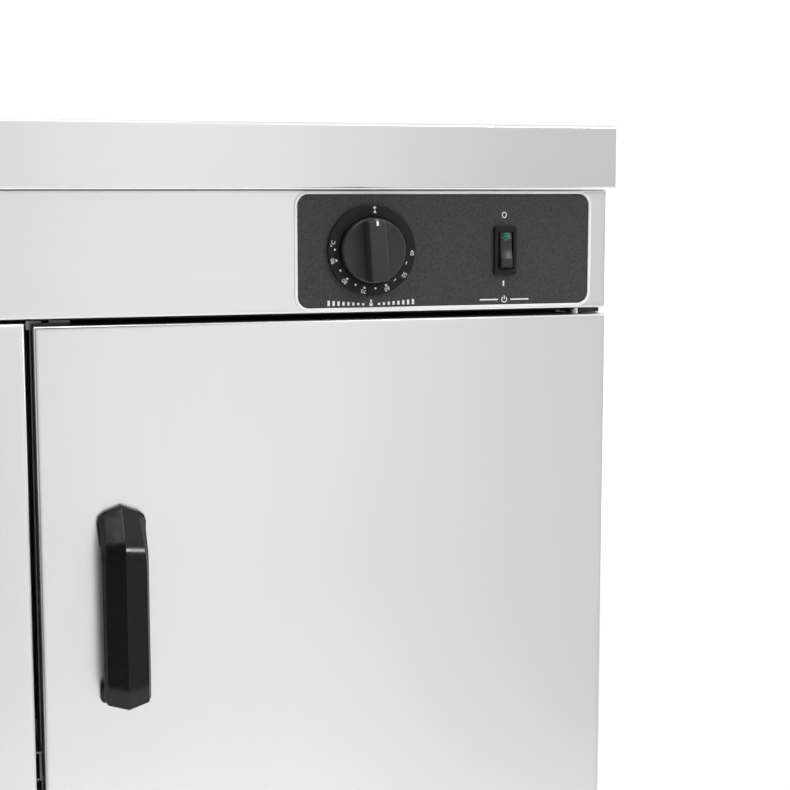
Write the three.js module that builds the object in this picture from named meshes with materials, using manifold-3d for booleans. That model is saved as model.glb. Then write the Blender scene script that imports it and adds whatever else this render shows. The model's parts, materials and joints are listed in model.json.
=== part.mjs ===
// A two-door heated holding cabinet in folded stainless sheet, with its heater, thermostat,
// switch, wire shelves, hinged doors and adjustable feet. Millimetres, +Z up, the doors face -Y,
// and the origin is under the middle of the whole cabinet, on the floor.
import * as THREE from 'three';
import { mergeVertices } from 'three/addons/utils/BufferGeometryUtils.js';
import Module from 'manifold-3d';

const wasm = await Module();
wasm.setup();

// ---- driving dimensions ----
const TOP_WIDTH = 753;
const TOP_DEPTH = 500;
const HEIGHT = 855;
const SHEET = 1.2; // thickness of the folded sheet
const FIT = 0.3; // gap between separate parts that meet
const TOUCH = 0.1; // gap behind a part that is stuck or screwed flat on a face
const LIP_HEIGHT = 40; // folded edge of the worktop
const LIP_AHEAD = 8; // worktop edge in front of the door faces
const LIP_GAP = 1; // open line between the worktop and the fascia
const BODY_WIDTH = 746;
const BODY_BOTTOM = 100; // underside of the body, above the floor
const FACE_WIDTH = 745.5; // fascia and base rail
const FRAME_DEPTH = 35; // front of the body, behind the door faces
const HANDLE_REACH = 25; // handle in front of the door face
const GLAND_REACH = 14; // cable gland behind the worktop
const BACK_INSET = 3; // back panel inside the worktop's rear edge

const DOOR_WIDTH = 370.5;
const DOOR_HEIGHT = 600;
const DOOR_DEPTH = 25;
const DOOR_BOTTOM = 133;
const CENTRE_GAP = 5;
const FASCIA_BOTTOM = 737;
const RAIL_TOP = 128;
const LEFT_DOOR_RAISE = 2; // the left door hangs this much higher
const PIVOT_FROM_EDGE = 18; // hinge axis, from the door's outer edge
const PIVOT_DEPTH = 12.5; // hinge axis, behind the door face

const WALL = 25; // insulated wall between the body and the chamber
const CEILING = 732.5; // top of the chamber ceiling
const FLOOR = 141.2; // top of the perforated chamber floor

const DIAL_X = 211.7;
const DIAL_Z = 776.3;
const SWITCH_X = 301;
const SWITCH_Z = 775.3;
const PLATE_X = [162.5, 360.7];
const PLATE_Z = [738.6, 813.1];
const PLATE_THICK = 1;
const PLATE_CORNER = 9;

// ---- places worked out from them ----
const REACH = HANDLE_REACH - LIP_AHEAD;
const TOP_FRONT = REACH - (TOP_DEPTH + REACH + GLAND_REACH) / 2;
const FACE = TOP_FRONT + LIP_AHEAD;
const BACK = TOP_FRONT + TOP_DEPTH - BACK_INSET;
const FRONT = FACE + FRAME_DEPTH;
const LIP_BOTTOM = HEIGHT - LIP_HEIGHT;
const BODY_TOP = LIP_BOTTOM - LIP_GAP;
const DOOR_OUTER = CENTRE_GAP / 2 + DOOR_WIDTH;
const PIVOT_X = DOOR_OUTER - PIVOT_FROM_EDGE;
const PIVOT_Y = FACE + PIVOT_DEPTH;
const PANEL_BACK = BACK - SHEET - FIT;
const CHAMBER_X = BODY_WIDTH / 2 - WALL; // outer face of the side liners
const CHAMBER_BACK = BACK - WALL; // rear face of the back liner
const PLATE_FRONT = FACE - PLATE_THICK;

// ---- shape helpers ----

// A box between two values on each axis, given in either order.
function slab(x, y, z) {
  const low = [Math.min(...x), Math.min(...y), Math.min(...z)];
  const high = [Math.max(...x), Math.max(...y), Math.max(...z)];
  const geometry = new THREE.BoxGeometry(high[0] - low[0], high[1] - low[1], high[2] - low[2]);
  return geometry.translate((low[0] + high[0]) / 2, (low[1] + high[1]) / 2, (low[2] + high[2]) / 2);
}

function toSolid(geometry) {
  if (!geometry.isBufferGeometry) return geometry;
  const bare = new THREE.BufferGeometry();
  bare.setAttribute('position', geometry.getAttribute('position').clone());
  if (geometry.index) bare.setIndex(geometry.index.clone());
  const merged = mergeVertices(bare, 1e-4);
  return new wasm.Manifold(new wasm.Mesh({
    numProp: 3,
    vertProperties: new Float32Array(merged.getAttribute('position').array),
    triVerts: new Uint32Array(merged.index.array),
  }));
}

function toGeometry(solid) {
  const mesh = solid.getMesh();
  const geometry = new THREE.BufferGeometry();
  geometry.setAttribute('position', new THREE.BufferAttribute(new Float32Array(mesh.vertProperties), 3));
  geometry.setIndex(new THREE.BufferAttribute(new Uint32Array(mesh.triVerts), 1));
  geometry.computeVertexNormals();
  return geometry;
}

function join(...shapes) {
  return toGeometry(shapes.map(toSolid).reduce((sum, next) => sum.add(next)));
}

function cut(shape, ...tools) {
  return toGeometry(tools.map(toSolid).reduce((left, tool) => left.subtract(tool), toSolid(shape)));
}

function common(...shapes) {
  return toGeometry(shapes.map(toSolid).reduce((shared, next) => shared.intersect(next)));
}

// A cylinder along 'x', 'y' or 'z', from start to end on that axis, centred at (a, b) on the other two.
function rod(axis, radius, start, end, a, b, sides = 16) {
  const geometry = new THREE.CylinderGeometry(radius, radius, end - start, sides);
  const middle = (start + end) / 2;
  if (axis === 'x') return geometry.rotateZ(-Math.PI / 2).translate(middle, a, b);
  if (axis === 'y') return geometry.translate(a, middle, b);
  return geometry.rotateX(Math.PI / 2).translate(a, b, middle);
}

// A turned piece about +Z, from [radius, height] pairs that start and end on the axis or close a ring.
function turned(profile, sides = 32) {
  const points = profile.map(([radius, height]) => new THREE.Vector2(radius, height));
  return new THREE.LatheGeometry(points, sides).rotateX(Math.PI / 2);
}

// Turns a piece made about +Z so that its +Z points out of the cabinet's front, along -Y.
function facingFront(geometry) {
  return geometry.rotateX(Math.PI / 2);
}

// A flat outline in (a, b), given as corner points, extruded by length along its own +Z.
function prism(corners, length) {
  const shape = new THREE.Shape(corners.map(([a, b]) => new THREE.Vector2(a, b)));
  return new THREE.ExtrudeGeometry(shape, { depth: length, bevelEnabled: false });
}

// An outline in (outwards, up), outwards being -Y, extruded along X about x = 0.
function acrossX(corners, width) {
  return prism(corners, width).rotateX(Math.PI / 2).rotateZ(-Math.PI / 2).translate(width / 2, 0, 0);
}

function roundedRectangle(width, height, radius) {
  const shape = new THREE.Shape();
  const x = width / 2 - radius;
  const y = height / 2 - radius;
  shape.absarc(x, y, radius, 0, Math.PI / 2);
  shape.absarc(-x, y, radius, Math.PI / 2, Math.PI);
  shape.absarc(-x, -y, radius, Math.PI, Math.PI * 1.5);
  shape.absarc(x, -y, radius, Math.PI * 1.5, Math.PI * 2);
  return shape;
}

// ---- materials ----
const finish = (color, roughness, metalness) =>
  new THREE.MeshStandardMaterial({ color, roughness, metalness });
const brushedSteel = () => finish(0xd9dbdc, 0.36, 0.9);
const dullSteel = () => finish(0xb9bcbd, 0.5, 0.8);
const brightWire = () => finish(0xd0d2d4, 0.2, 1);
const glossBlack = () => finish(0x0b0b0c, 0.12, 0);
const satinBlack = () => finish(0x161617, 0.4, 0);
const platePaint = () => finish(0x484a4c, 0.6, 0.1);
const glassWool = () => finish(0xd8c98c, 0.95, 0);
const ferrite = () => finish(0x3a3a3c, 0.7, 0.1);
const greenLens = () => finish(0x1f8c68, 0.15, 0);
const heaterSheath = () => finish(0x6f6862, 0.45, 0.8);
const copper = () => finish(0xb5794c, 0.35, 0.9);
const whitePlastic = () => finish(0xe6e3da, 0.5, 0);
const zincPlate = () => finish(0xc6c8c6, 0.35, 0.9);

const cabinet = new THREE.Group();

function part(name, geometry, material, parent = cabinet, position = [0, 0, 0]) {
  const mesh = new THREE.Mesh(geometry, material);
  mesh.name = name;
  mesh.position.set(...position);
  parent.add(mesh);
  return mesh;
}

// ---- worktop: a pan with a folded edge all round and a narrow return below ----
const WORKTOP_RETURN = 14;
{
  const x = TOP_WIDTH / 2;
  const pan = slab([-x, x], [TOP_FRONT, TOP_FRONT + TOP_DEPTH], [LIP_BOTTOM, HEIGHT]);
  const inside = (inset, z) => slab(
    [-x + inset, x - inset],
    [TOP_FRONT + inset, TOP_FRONT + TOP_DEPTH - inset],
    z,
  );
  const hollow = inside(SHEET, [LIP_BOTTOM + SHEET, HEIGHT - SHEET]);
  const mouth = inside(WORKTOP_RETURN, [LIP_BOTTOM - SHEET, LIP_BOTTOM + 2 * SHEET]);
  part('worktop', cut(pan, hollow, mouth), brushedSteel());
}

// ---- side panels: folded trays, open towards the chamber ----
function sidePanel(side) {
  const outer = (side * BODY_WIDTH) / 2;
  const inner = side * (CHAMBER_X + FIT);
  const tray = slab([inner, outer], [FRONT, PANEL_BACK], [BODY_BOTTOM, BODY_TOP]);
  const hollow = slab(
    [inner - side * SHEET, outer - side * SHEET],
    [FRONT + SHEET, PANEL_BACK - SHEET],
    [BODY_BOTTOM + SHEET, BODY_TOP - SHEET],
  );
  return cut(tray, hollow);
}
part('side_panel_left', sidePanel(-1), brushedSteel());
part('side_panel_right', sidePanel(1), brushedSteel());

// ---- back panel, with cooling slots for the control compartment and the gland's hole ----
const GLAND_X = 240;
const GLAND_Z = 775;
const GLAND_THREAD = 8;
const VENTS = { count: 7, pitch: 10, width: 100, height: 4, starts: [-160, 60] };
{
  const x = BODY_WIDTH / 2;
  const panel = slab([-x, x], [BACK - SHEET, BACK], [BODY_BOTTOM, BODY_TOP]);
  const slots = VENTS.starts.flatMap((start) => Array.from({ length: VENTS.count }, (_, i) => {
    const z = GLAND_Z + (i - (VENTS.count - 1) / 2) * VENTS.pitch;
    const tall = [z - VENTS.height / 2, z + VENTS.height / 2];
    return slab([start, start + VENTS.width], [BACK - 2 * SHEET, BACK + SHEET], tall);
  }));
  const hole = rod('y', GLAND_THREAD + FIT, BACK - 2 * SHEET, BACK + SHEET, GLAND_X, GLAND_Z, 20);
  part('back_panel', cut(panel, ...slots, hole), brushedSteel());
}

// ---- base pan and the rail below the doors ----
part('base_pan', join(
  slab([-CHAMBER_X, CHAMBER_X], [FRONT, PANEL_BACK], [BODY_BOTTOM, BODY_BOTTOM + SHEET]),
  slab([-CHAMBER_X, CHAMBER_X], [PANEL_BACK - SHEET, PANEL_BACK], [BODY_BOTTOM, RAIL_TOP]),
), dullSteel());

// The hinge brackets' uprights pass through a notch near each end of the return at notchZ.
const UPRIGHT_THICK = 3;
const UPRIGHT_X = [352.1, 370.1];
function foldedFront(z0, z1, notchZ) {
  const x = FACE_WIDTH / 2;
  const notches = [-1, 1].map((side) => slab(
    UPRIGHT_X.map((end, i) => side * (end + (i ? FIT : -FIT))),
    [FRONT - UPRIGHT_THICK - 2 * FIT, FRONT + 1],
    [notchZ - 2 * SHEET, notchZ + 2 * SHEET],
  ));
  return cut(
    slab([-x, x], [FACE, FRONT - FIT], [z0, z1]),
    slab([-x + SHEET, x - SHEET], [FACE + SHEET, FRONT + 1], [z0 + SHEET, z1 - SHEET]),
    ...notches,
  );
}
part('base_rail', foldedFront(BODY_BOTTOM, RAIL_TOP, RAIL_TOP), brushedSteel());

// ---- control fascia: a folded front with holes for the thermostat's collar and the switch ----
const COLLAR_RADIUS = 6;
const SWITCH_BODY = [13.2, 28.4];
{
  const cutters = [
    rod('y', COLLAR_RADIUS + FIT, FACE - 2, FACE + 2 * SHEET, DIAL_X, DIAL_Z, 24),
    slab(
      [SWITCH_X - SWITCH_BODY[0] / 2 - FIT, SWITCH_X + SWITCH_BODY[0] / 2 + FIT],
      [FACE - 2, FACE + 2 * SHEET],
      [SWITCH_Z - SWITCH_BODY[1] / 2 - FIT, SWITCH_Z + SWITCH_BODY[1] / 2 + FIT],
    ),
  ];
  const fascia = foldedFront(FASCIA_BOTTOM, BODY_TOP, FASCIA_BOTTOM);
  part('control_fascia', cut(fascia, ...cutters), brushedSteel());

  // The dark plate stuck on the fascia, with the same two holes.
  const width = PLATE_X[1] - PLATE_X[0];
  const height = PLATE_Z[1] - PLATE_Z[0];
  const blank = new THREE.ExtrudeGeometry(roundedRectangle(width, height, PLATE_CORNER), {
    depth: PLATE_THICK - TOUCH,
    bevelEnabled: false,
    curveSegments: 6,
  });
  facingFront(blank);
  blank.translate((PLATE_X[0] + PLATE_X[1]) / 2, FACE - TOUCH, (PLATE_Z[0] + PLATE_Z[1]) / 2);
  part('control_plate', cut(blank, ...cutters), platePaint());
}

// ---- chamber: ceiling, side liners, back liner and perforated floor ----
const BULB_X = DIAL_X + 40;
const CAPILLARY_RADIUS = 1.2;
const CAPILLARY_BEHIND_FRONT = 60;
const CEILING_FLANGE = 28; // upright flange along the ceiling's front edge
{
  const x = CHAMBER_X;
  const sheet = join(
    slab([-x, x], [FRONT, PANEL_BACK - SHEET - FIT], [CEILING - SHEET, CEILING]),
    slab([-x, x], [FRONT, FRONT + SHEET], [CEILING - SHEET, CEILING + CEILING_FLANGE]),
  );
  const hole = rod('z', 4, CEILING - 5, CEILING + 5, BULB_X, FRONT + CAPILLARY_BEHIND_FRONT, 16);
  part('chamber_ceiling', cut(sheet, hole), dullSteel());
}

const LINER_TOP = CEILING - SHEET - FIT;
const LINER_BOTTOM = BODY_BOTTOM + SHEET + FIT;
function sideLiner(side) {
  const outer = side * CHAMBER_X;
  return slab([outer - side * SHEET, outer], [FRONT, CHAMBER_BACK], [LINER_BOTTOM, LINER_TOP]);
}
part('liner_left', sideLiner(-1), dullSteel());
part('liner_right', sideLiner(1), dullSteel());

const INSIDE_X = CHAMBER_X - SHEET - FIT; // clear half width for parts between the side liners
const INSIDE_BACK = CHAMBER_BACK - SHEET - FIT;
part('liner_back', slab(
  [-INSIDE_X, INSIDE_X],
  [CHAMBER_BACK - SHEET, CHAMBER_BACK],
  [LINER_BOTTOM, LINER_TOP],
), dullSteel());

const SLOTS = { rows: 5, columns: 8, length: 44, width: 6, along: 80, across: 72, first: 70 };
{
  const legs = [FRONT, INSIDE_BACK - SHEET].map((y) =>
    slab([-INSIDE_X, INSIDE_X], [y, y + SHEET], [LINER_BOTTOM, FLOOR]));
  const plate = slab([-INSIDE_X, INSIDE_X], [FRONT, INSIDE_BACK], [FLOOR - SHEET, FLOOR]);
  const slots = [];
  for (let row = 0; row < SLOTS.rows; row += 1) {
    for (let column = 0; column < SLOTS.columns; column += 1) {
      const x = (column - (SLOTS.columns - 1) / 2) * SLOTS.along;
      const y = FRONT + SLOTS.first + row * SLOTS.across;
      slots.push(slab(
        [x - SLOTS.length / 2, x + SLOTS.length / 2],
        [y - SLOTS.width / 2, y + SLOTS.width / 2],
        [FLOOR - 2 * SHEET, FLOOR + SHEET],
      ));
    }
  }
  part('chamber_floor', cut(join(plate, ...legs), ...slots), dullSteel());
}

// ---- one glass wool blanket, wrapped round the sides and the back of the chamber ----
{
  const z = [LINER_BOTTOM, LINER_TOP];
  const x = BODY_WIDTH / 2 - SHEET - FIT;
  const blanket = slab([-x, x], [FRONT + SHEET + FIT, PANEL_BACK - SHEET - FIT], z);
  const chamber = slab(
    [-CHAMBER_X - FIT, CHAMBER_X + FIT],
    [FRONT, CHAMBER_BACK + FIT],
    [z[0] - 1, z[1] + 1],
  );
  part('insulation_blanket', cut(blanket, chamber), glassWool());
}

// ---- shelf supports: a post at the front centre, pressed racks on the side liners, and channels ----
const POST_X = 5; // the post stands a little right of the middle
const POST_THICK = 3;
const POST_DEPTHS = [48, 68]; // behind the door faces
const CHANNEL = { height: 19, width: 12, front: 40 };
const SHELF_LEVELS = { upper: 457, lower: 250 };
part('centre_post', slab(
  [POST_X - POST_THICK / 2, POST_X + POST_THICK / 2],
  POST_DEPTHS.map((depth) => FACE + depth),
  [FLOOR + FIT, LINER_TOP],
), dullSteel());

// A channel along Y: an upright web at webX and two flanges that point towards side.
function channel(webX, side, top, y0 = FACE + CHANNEL.front, y1 = INSIDE_BACK) {
  const bottom = top - CHANNEL.height;
  const web = slab([webX, webX + side * SHEET], [y0, y1], [bottom, top]);
  const flanges = [bottom, top - SHEET].map((z) =>
    slab([webX, webX + side * CHANNEL.width], [y0, y1], [z, z + SHEET]));
  return join(web, ...flanges);
}

// The centre channels stand back to back on the post's two sides, tied together behind it.
for (const [level, top] of Object.entries(SHELF_LEVELS)) {
  const left = POST_X - POST_THICK / 2 - FIT;
  const right = POST_X + POST_THICK / 2 + FIT;
  part(`centre_channels_${level}`, join(
    channel(left, -1, top),
    channel(right, 1, top),
    slab([left - SHEET, right + SHEET], [FACE + 120, FACE + 150], [top - CHANNEL.height, top - 4]),
    slab([left - SHEET, right + SHEET], [INSIDE_BACK - 30, INSIDE_BACK], [top - CHANNEL.height, top - 4]),
  ), dullSteel());
}

function sideRack(side) {
  const wall = side * INSIDE_X;
  const uprights = [FACE + 60, INSIDE_BACK - 50].map((y) =>
    slab([wall, wall - side * 2], [y, y + 22], [FLOOR + FIT, LINER_TOP - 30]));
  const channels = Object.values(SHELF_LEVELS).map((top) => channel(wall - side * 1, -side, top));
  return join(...uprights, ...channels);
}
part('shelf_rack_left', sideRack(-1), dullSteel());
part('shelf_rack_right', sideRack(1), dullSteel());

// ---- wire shelves: a frame of rod with thinner wires welded across it ----
const SHELF_WIDTH = 335;
const SHELF_DEPTH = 408;
const FRAME_ROD = 3;
const CROSS_WIRE = 1.6;
const WIRE_COUNT = 13;
const SHELF_SINK = 0.8; // how far the wires sink into the frame where they are welded
function wireShelf() {
  const x = SHELF_WIDTH / 2 - FRAME_ROD;
  const y = SHELF_DEPTH / 2 - FRAME_ROD;
  const frame = [
    rod('x', FRAME_ROD, -x - FRAME_ROD, x + FRAME_ROD, -y, FRAME_ROD, 8),
    rod('x', FRAME_ROD, -x - FRAME_ROD, x + FRAME_ROD, y, FRAME_ROD, 8),
    rod('x', FRAME_ROD * 0.8, -x, x, 0, FRAME_ROD, 6),
    rod('y', FRAME_ROD * 0.97, -y, y, -x, FRAME_ROD, 8),
    rod('y', FRAME_ROD * 0.97, -y, y, x, FRAME_ROD, 8),
  ];
  const height = 2 * FRAME_ROD + CROSS_WIRE - SHELF_SINK;
  const wires = Array.from({ length: WIRE_COUNT }, (_, i) => {
    const wireX = (i - (WIRE_COUNT - 1) / 2) * ((2 * x) / (WIRE_COUNT + 1));
    return rod('y', CROSS_WIRE, -y - 1, y + 1, wireX, height, 6);
  });
  return join(...frame, ...wires);
}
{
  const leftX = -INSIDE_X + 5 + SHELF_WIDTH / 2;
  const rightX = POST_X + POST_THICK / 2 + FIT + SHELF_WIDTH / 2;
  const y = (FACE + CHANNEL.front + INSIDE_BACK) / 2;
  for (const [level, top] of Object.entries(SHELF_LEVELS)) {
    part(`shelf_${level}_left`, wireShelf(), brightWire(), cabinet, [leftX, y, top + FIT]);
    part(`shelf_${level}_right`, wireShelf(), brightWire(), cabinet, [rightX, y, top + FIT]);
  }
}

// ---- heating element below the perforated floor, and its bracket ----
const ELEMENT_RADIUS = 4;
const ELEMENT_HEIGHT = 122;
const ELEMENT_TURNS = 4;
{
  const path = new THREE.CurvePath();
  const point = (x, y, z = ELEMENT_HEIGHT) => new THREE.Vector3(x, y, z);
  const width = 270;
  const pitch = 80;
  const bend = 30;
  let y = FRONT + 80;
  let x = width;
  path.add(new THREE.LineCurve3(point(width + 30, y), point(width, y)));
  for (let i = 0; i < ELEMENT_TURNS; i += 1) {
    path.add(new THREE.LineCurve3(point(x, y), point(-x, y)));
    x = -x;
    const out = x + Math.sign(x) * bend;
    if (i < ELEMENT_TURNS - 1) {
      const next = y + pitch;
      path.add(new THREE.CubicBezierCurve3(point(x, y), point(out, y), point(out, next), point(x, next)));
      y = next;
    }
  }
  path.add(new THREE.LineCurve3(point(x, y), point(x + 30, y)));
  const round = new THREE.Shape().absarc(0, 0, ELEMENT_RADIUS, 0, Math.PI * 2);
  const tube = new THREE.ExtrudeGeometry(round, { steps: 52, extrudePath: path, curveSegments: 4 });
  part('heating_element', tube, heaterSheath());
  const top = ELEMENT_HEIGHT - ELEMENT_RADIUS - FIT;
  const strip = { x: [-12, 12], ends: [FRONT + 40, FRONT + 360], thick: 2 };
  part('element_bracket', join(
    slab(strip.x, strip.ends, [top - strip.thick, top]),
    ...strip.ends.map((end, i) =>
      slab(strip.x, [end, end + (i ? -strip.thick : strip.thick)], [LINER_BOTTOM, top])),
  ), zincPlate());
}

// ---- hinges: a bracket and a pin above and below each door ----
const PIN_RADIUS = 2.6;
const PIN_INTO_DOOR = 14;
const SWING_GAP = 0.4; // above and below the hinge brackets' tongues
const UPRIGHT_HEIGHT = 24;

// The tongue lies beside and behind the pin, between zNear at the door and zFar at the fascia or rail.
function hingeBracket(side, zNear, zFar) {
  const rear = FRONT - FIT;
  const nest = PIN_RADIUS + FIT;
  const beside = [side * (PIVOT_X + nest), (side * FACE_WIDTH) / 2];
  const behind = [side * UPRIGHT_X[0], side * UPRIGHT_X[1]];
  const tip = zFar + Math.sign(zFar - zNear) * UPRIGHT_HEIGHT;
  return join(
    slab(beside, [PIVOT_Y, rear], [zNear, zFar]),
    slab(behind, [PIVOT_Y + nest, rear], [zNear, zFar]),
    slab(behind, [rear - UPRIGHT_THICK, rear], [zNear, tip]),
  );
}

function hingePin(zDoorEnd, zFar) {
  return rod('z', PIN_RADIUS, Math.min(zDoorEnd, zFar), Math.max(zDoorEnd, zFar), 0, 0, 16);
}
for (const [side, name, raise] of [[-1, 'left', LEFT_DOOR_RAISE], [1, 'right', 0]]) {
  const bottom = DOOR_BOTTOM + raise;
  const top = bottom + DOOR_HEIGHT;
  const pivot = [side * PIVOT_X, PIVOT_Y, 0];
  const upper = FASCIA_BOTTOM - SWING_GAP;
  const lower = RAIL_TOP + SWING_GAP;
  part(`hinge_bracket_top_${name}`, hingeBracket(side, top + SWING_GAP, upper), zincPlate());
  part(`hinge_bracket_bottom_${name}`, hingeBracket(side, bottom - SWING_GAP, lower), zincPlate());
  part(`hinge_pin_top_${name}`, hingePin(top - PIN_INTO_DOOR, upper), zincPlate(), cabinet, pivot);
  part(`hinge_pin_bottom_${name}`, hingePin(bottom + PIN_INTO_DOOR, lower), zincPlate(), cabinet, pivot);
}

// ---- magnetic catches under the ceiling, and the slotted stop plate between the door tops ----
const MAGNET = { from: 7, to: 34, depths: [DOOR_DEPTH + 0.4, 50], height: 12 };
for (const [side, name] of [[-1, 'left'], [1, 'right']]) {
  part(`catch_magnet_${name}`, slab(
    [side * MAGNET.from, side * MAGNET.to],
    MAGNET.depths.map((depth) => FACE + depth),
    [LINER_TOP - MAGNET.height, LINER_TOP],
  ), ferrite());
}
{
  const STOP = { x: [0.5, 27.3], thick: 2.2, tabBelow: 2.5, slotX: [9.8, 14.4], slotZ: [732.4, 734] };
  const y = [FRONT - FIT - STOP.thick, FRONT - FIT];
  const plate = slab(STOP.x, y, [LINER_TOP + 2 * FIT, FASCIA_BOTTOM - FIT]);
  const tab = slab([STOP.x[0], MAGNET.from - 2 * FIT], y, [LINER_TOP - STOP.tabBelow, LINER_TOP + 1]);
  const slot = slab(STOP.slotX, [y[0] - 1, y[1] + 1], STOP.slotZ);
  part('stop_plate', cut(join(plate, tab), slot), zincPlate());
}

// ---- doors: a folded skin, a pressed liner and a bow handle, in a group on the hinge axis ----
const DOOR_RETURN = 14;
const LINER_RISE = 6; // how far the liner's field stands behind the skin's returns
const HANDLE_FROM_EDGE = 49.6; // handle's middle, from the door's free edge
const HANDLE_BELOW_TOP = 171.9; // handle's middle, below the door's top
const HANDLE = { half: 61.8, foot: 15, grip: 13.2, thick: 9.5, hood: 27 };

// Bow handle: a side outline, a front outline and a ridged section, all three crossed, with a foot
// pad at each end. The upper end slopes down to the door as a hood and the lower end is blunt.
function bowHandle() {
  const { half, foot, grip, thick, hood } = HANDLE;
  const reach = HANDLE_REACH;
  const behind = reach - thick;
  const side = acrossX([
    [0, -half], [0, -half + 15], [behind - 2, -half + 18], [behind, -half + 21],
    [behind, half - hood - 7], [behind - 2, half - hood - 4], [0, half - hood + 2], [0, half],
    [2.5, half], [reach - 4.5, half - 18], [reach - 1.3, half - 22.5], [reach, half - hood],
    [reach, -half + 10], [reach - 2.4, -half],
  ], 2 * foot);
  const outline = [
    [0, half], [11, half - 4], [grip, half - 7], [grip, -half + 6.5], [9.5, -half + 2.2], [0, -half],
  ];
  const mirrored = (corners) => corners.map(([x, z]) => [-x, z]).reverse();
  const front = prism([...outline, ...mirrored(outline)], reach + 2);
  front.rotateX(Math.PI / 2).translate(0, 1, 0);
  const gable = [[grip, 1], [grip, 4 - reach], [grip - 2, 2.3 - reach], [0, -reach]];
  const section = prism([...gable, ...mirrored(gable)], 2 * half + 2);
  section.translate(0, 0, -half - 1);
  const pads = [
    [
      [0, half], [11, half - 4], [foot - 0.5, half - 7.5],
      [foot, half - 11], [foot, half - 16], [grip, half - 25],
    ],
    [[foot, 13 - half], [foot, 2 - half], [grip - 1, -half]],
  ].map((corners) => prism([...corners, ...mirrored(corners)], 4).rotateX(Math.PI / 2));
  return join(common(side, front, section), ...pads);
}

function doorGroup(side, name, raise) {
  const group = new THREE.Group();
  group.position.set(side * PIVOT_X, PIVOT_Y, DOOR_BOTTOM + raise);
  cabinet.add(group);
  const outer = side * PIVOT_FROM_EDGE;
  const free = outer - side * DOOR_WIDTH;
  const face = -PIVOT_DEPTH;
  const rear = face + DOOR_DEPTH;
  const inset = (amount) => [free + side * amount, outer - side * amount];
  const pinHoles = [[-1, 2], [DOOR_HEIGHT - 2, DOOR_HEIGHT + 1]].map(([z0, z1]) =>
    rod('z', PIN_RADIUS + FIT, z0, z1, 0, 0, 20));
  part(`door_skin_${name}`, cut(
    slab(inset(0), [face, rear], [0, DOOR_HEIGHT]),
    slab(inset(SHEET), [face + SHEET, rear - SHEET], [SHEET, DOOR_HEIGHT - SHEET]),
    slab(inset(DOOR_RETURN), [rear - 2 * SHEET, rear + 1], [DOOR_RETURN, DOOR_HEIGHT - DOOR_RETURN]),
    ...pinHoles,
  ), brushedSteel(), group);
  const tuck = SHEET + FIT;
  const sheetRear = rear - SHEET - FIT;
  const field = DOOR_RETURN + 4;
  const rise = (grow) => [sheetRear - SHEET - grow, rear + LINER_RISE - grow];
  part(`door_liner_${name}`, cut(
    join(
      slab(inset(tuck + 6), [sheetRear - SHEET, sheetRear], [tuck + 6, DOOR_HEIGHT - tuck - 6]),
      slab(inset(field), rise(0), [field, DOOR_HEIGHT - field]),
    ),
    slab(inset(field + SHEET), rise(SHEET), [field + SHEET, DOOR_HEIGHT - field - SHEET]),
  ), dullSteel(), group);
  const handleX = free + side * HANDLE_FROM_EDGE;
  const handlePlace = [handleX, face - TOUCH, DOOR_HEIGHT - HANDLE_BELOW_TOP];
  part(`door_handle_${name}`, bowHandle(), glossBlack(), group, handlePlace);
}
doorGroup(-1, 'left', LEFT_DOOR_RAISE);
doorGroup(1, 'right', 0);

// ---- thermostat: body, collar, dial ring, knob on its shaft, and the sensing bulb ----
const BEZEL_RADIUS = 28.5;
const BEZEL_THICK = 2.6;
const KNOB_RADIUS = 20.4;
const SHAFT_RADIUS = 3;
const KNOB_TILT = 4; // degrees that the knob's mark leans left at rest
const THERMOSTAT_DEPTHS = [8, 34];
const THERMOSTAT_HALF = 22;
part('thermostat_body', join(
  slab(
    [DIAL_X - THERMOSTAT_HALF, DIAL_X + THERMOSTAT_HALF],
    THERMOSTAT_DEPTHS.map((depth) => FRONT + depth),
    [DIAL_Z - THERMOSTAT_HALF, DIAL_Z + THERMOSTAT_HALF],
  ),
  cut(
    rod('y', COLLAR_RADIUS, FACE + FIT, FRONT + THERMOSTAT_DEPTHS[0] + 1, DIAL_X, DIAL_Z, 24),
    rod('y', SHAFT_RADIUS + FIT, FACE - 1, FRONT + THERMOSTAT_DEPTHS[0] - 2, DIAL_X, DIAL_Z, 20),
  ),
), satinBlack());

part('dial_bezel', facingFront(turned([
  [COLLAR_RADIUS, 0],
  [BEZEL_RADIUS, 0],
  [BEZEL_RADIUS, 1.2],
  [BEZEL_RADIUS - 1, 1.8],
  [KNOB_RADIUS + 1.5, BEZEL_THICK],
  [COLLAR_RADIUS, BEZEL_THICK],
  [COLLAR_RADIUS, 0],
], 48)), satinBlack(), cabinet, [DIAL_X, PLATE_FRONT - TOUCH, DIAL_Z]);

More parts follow.
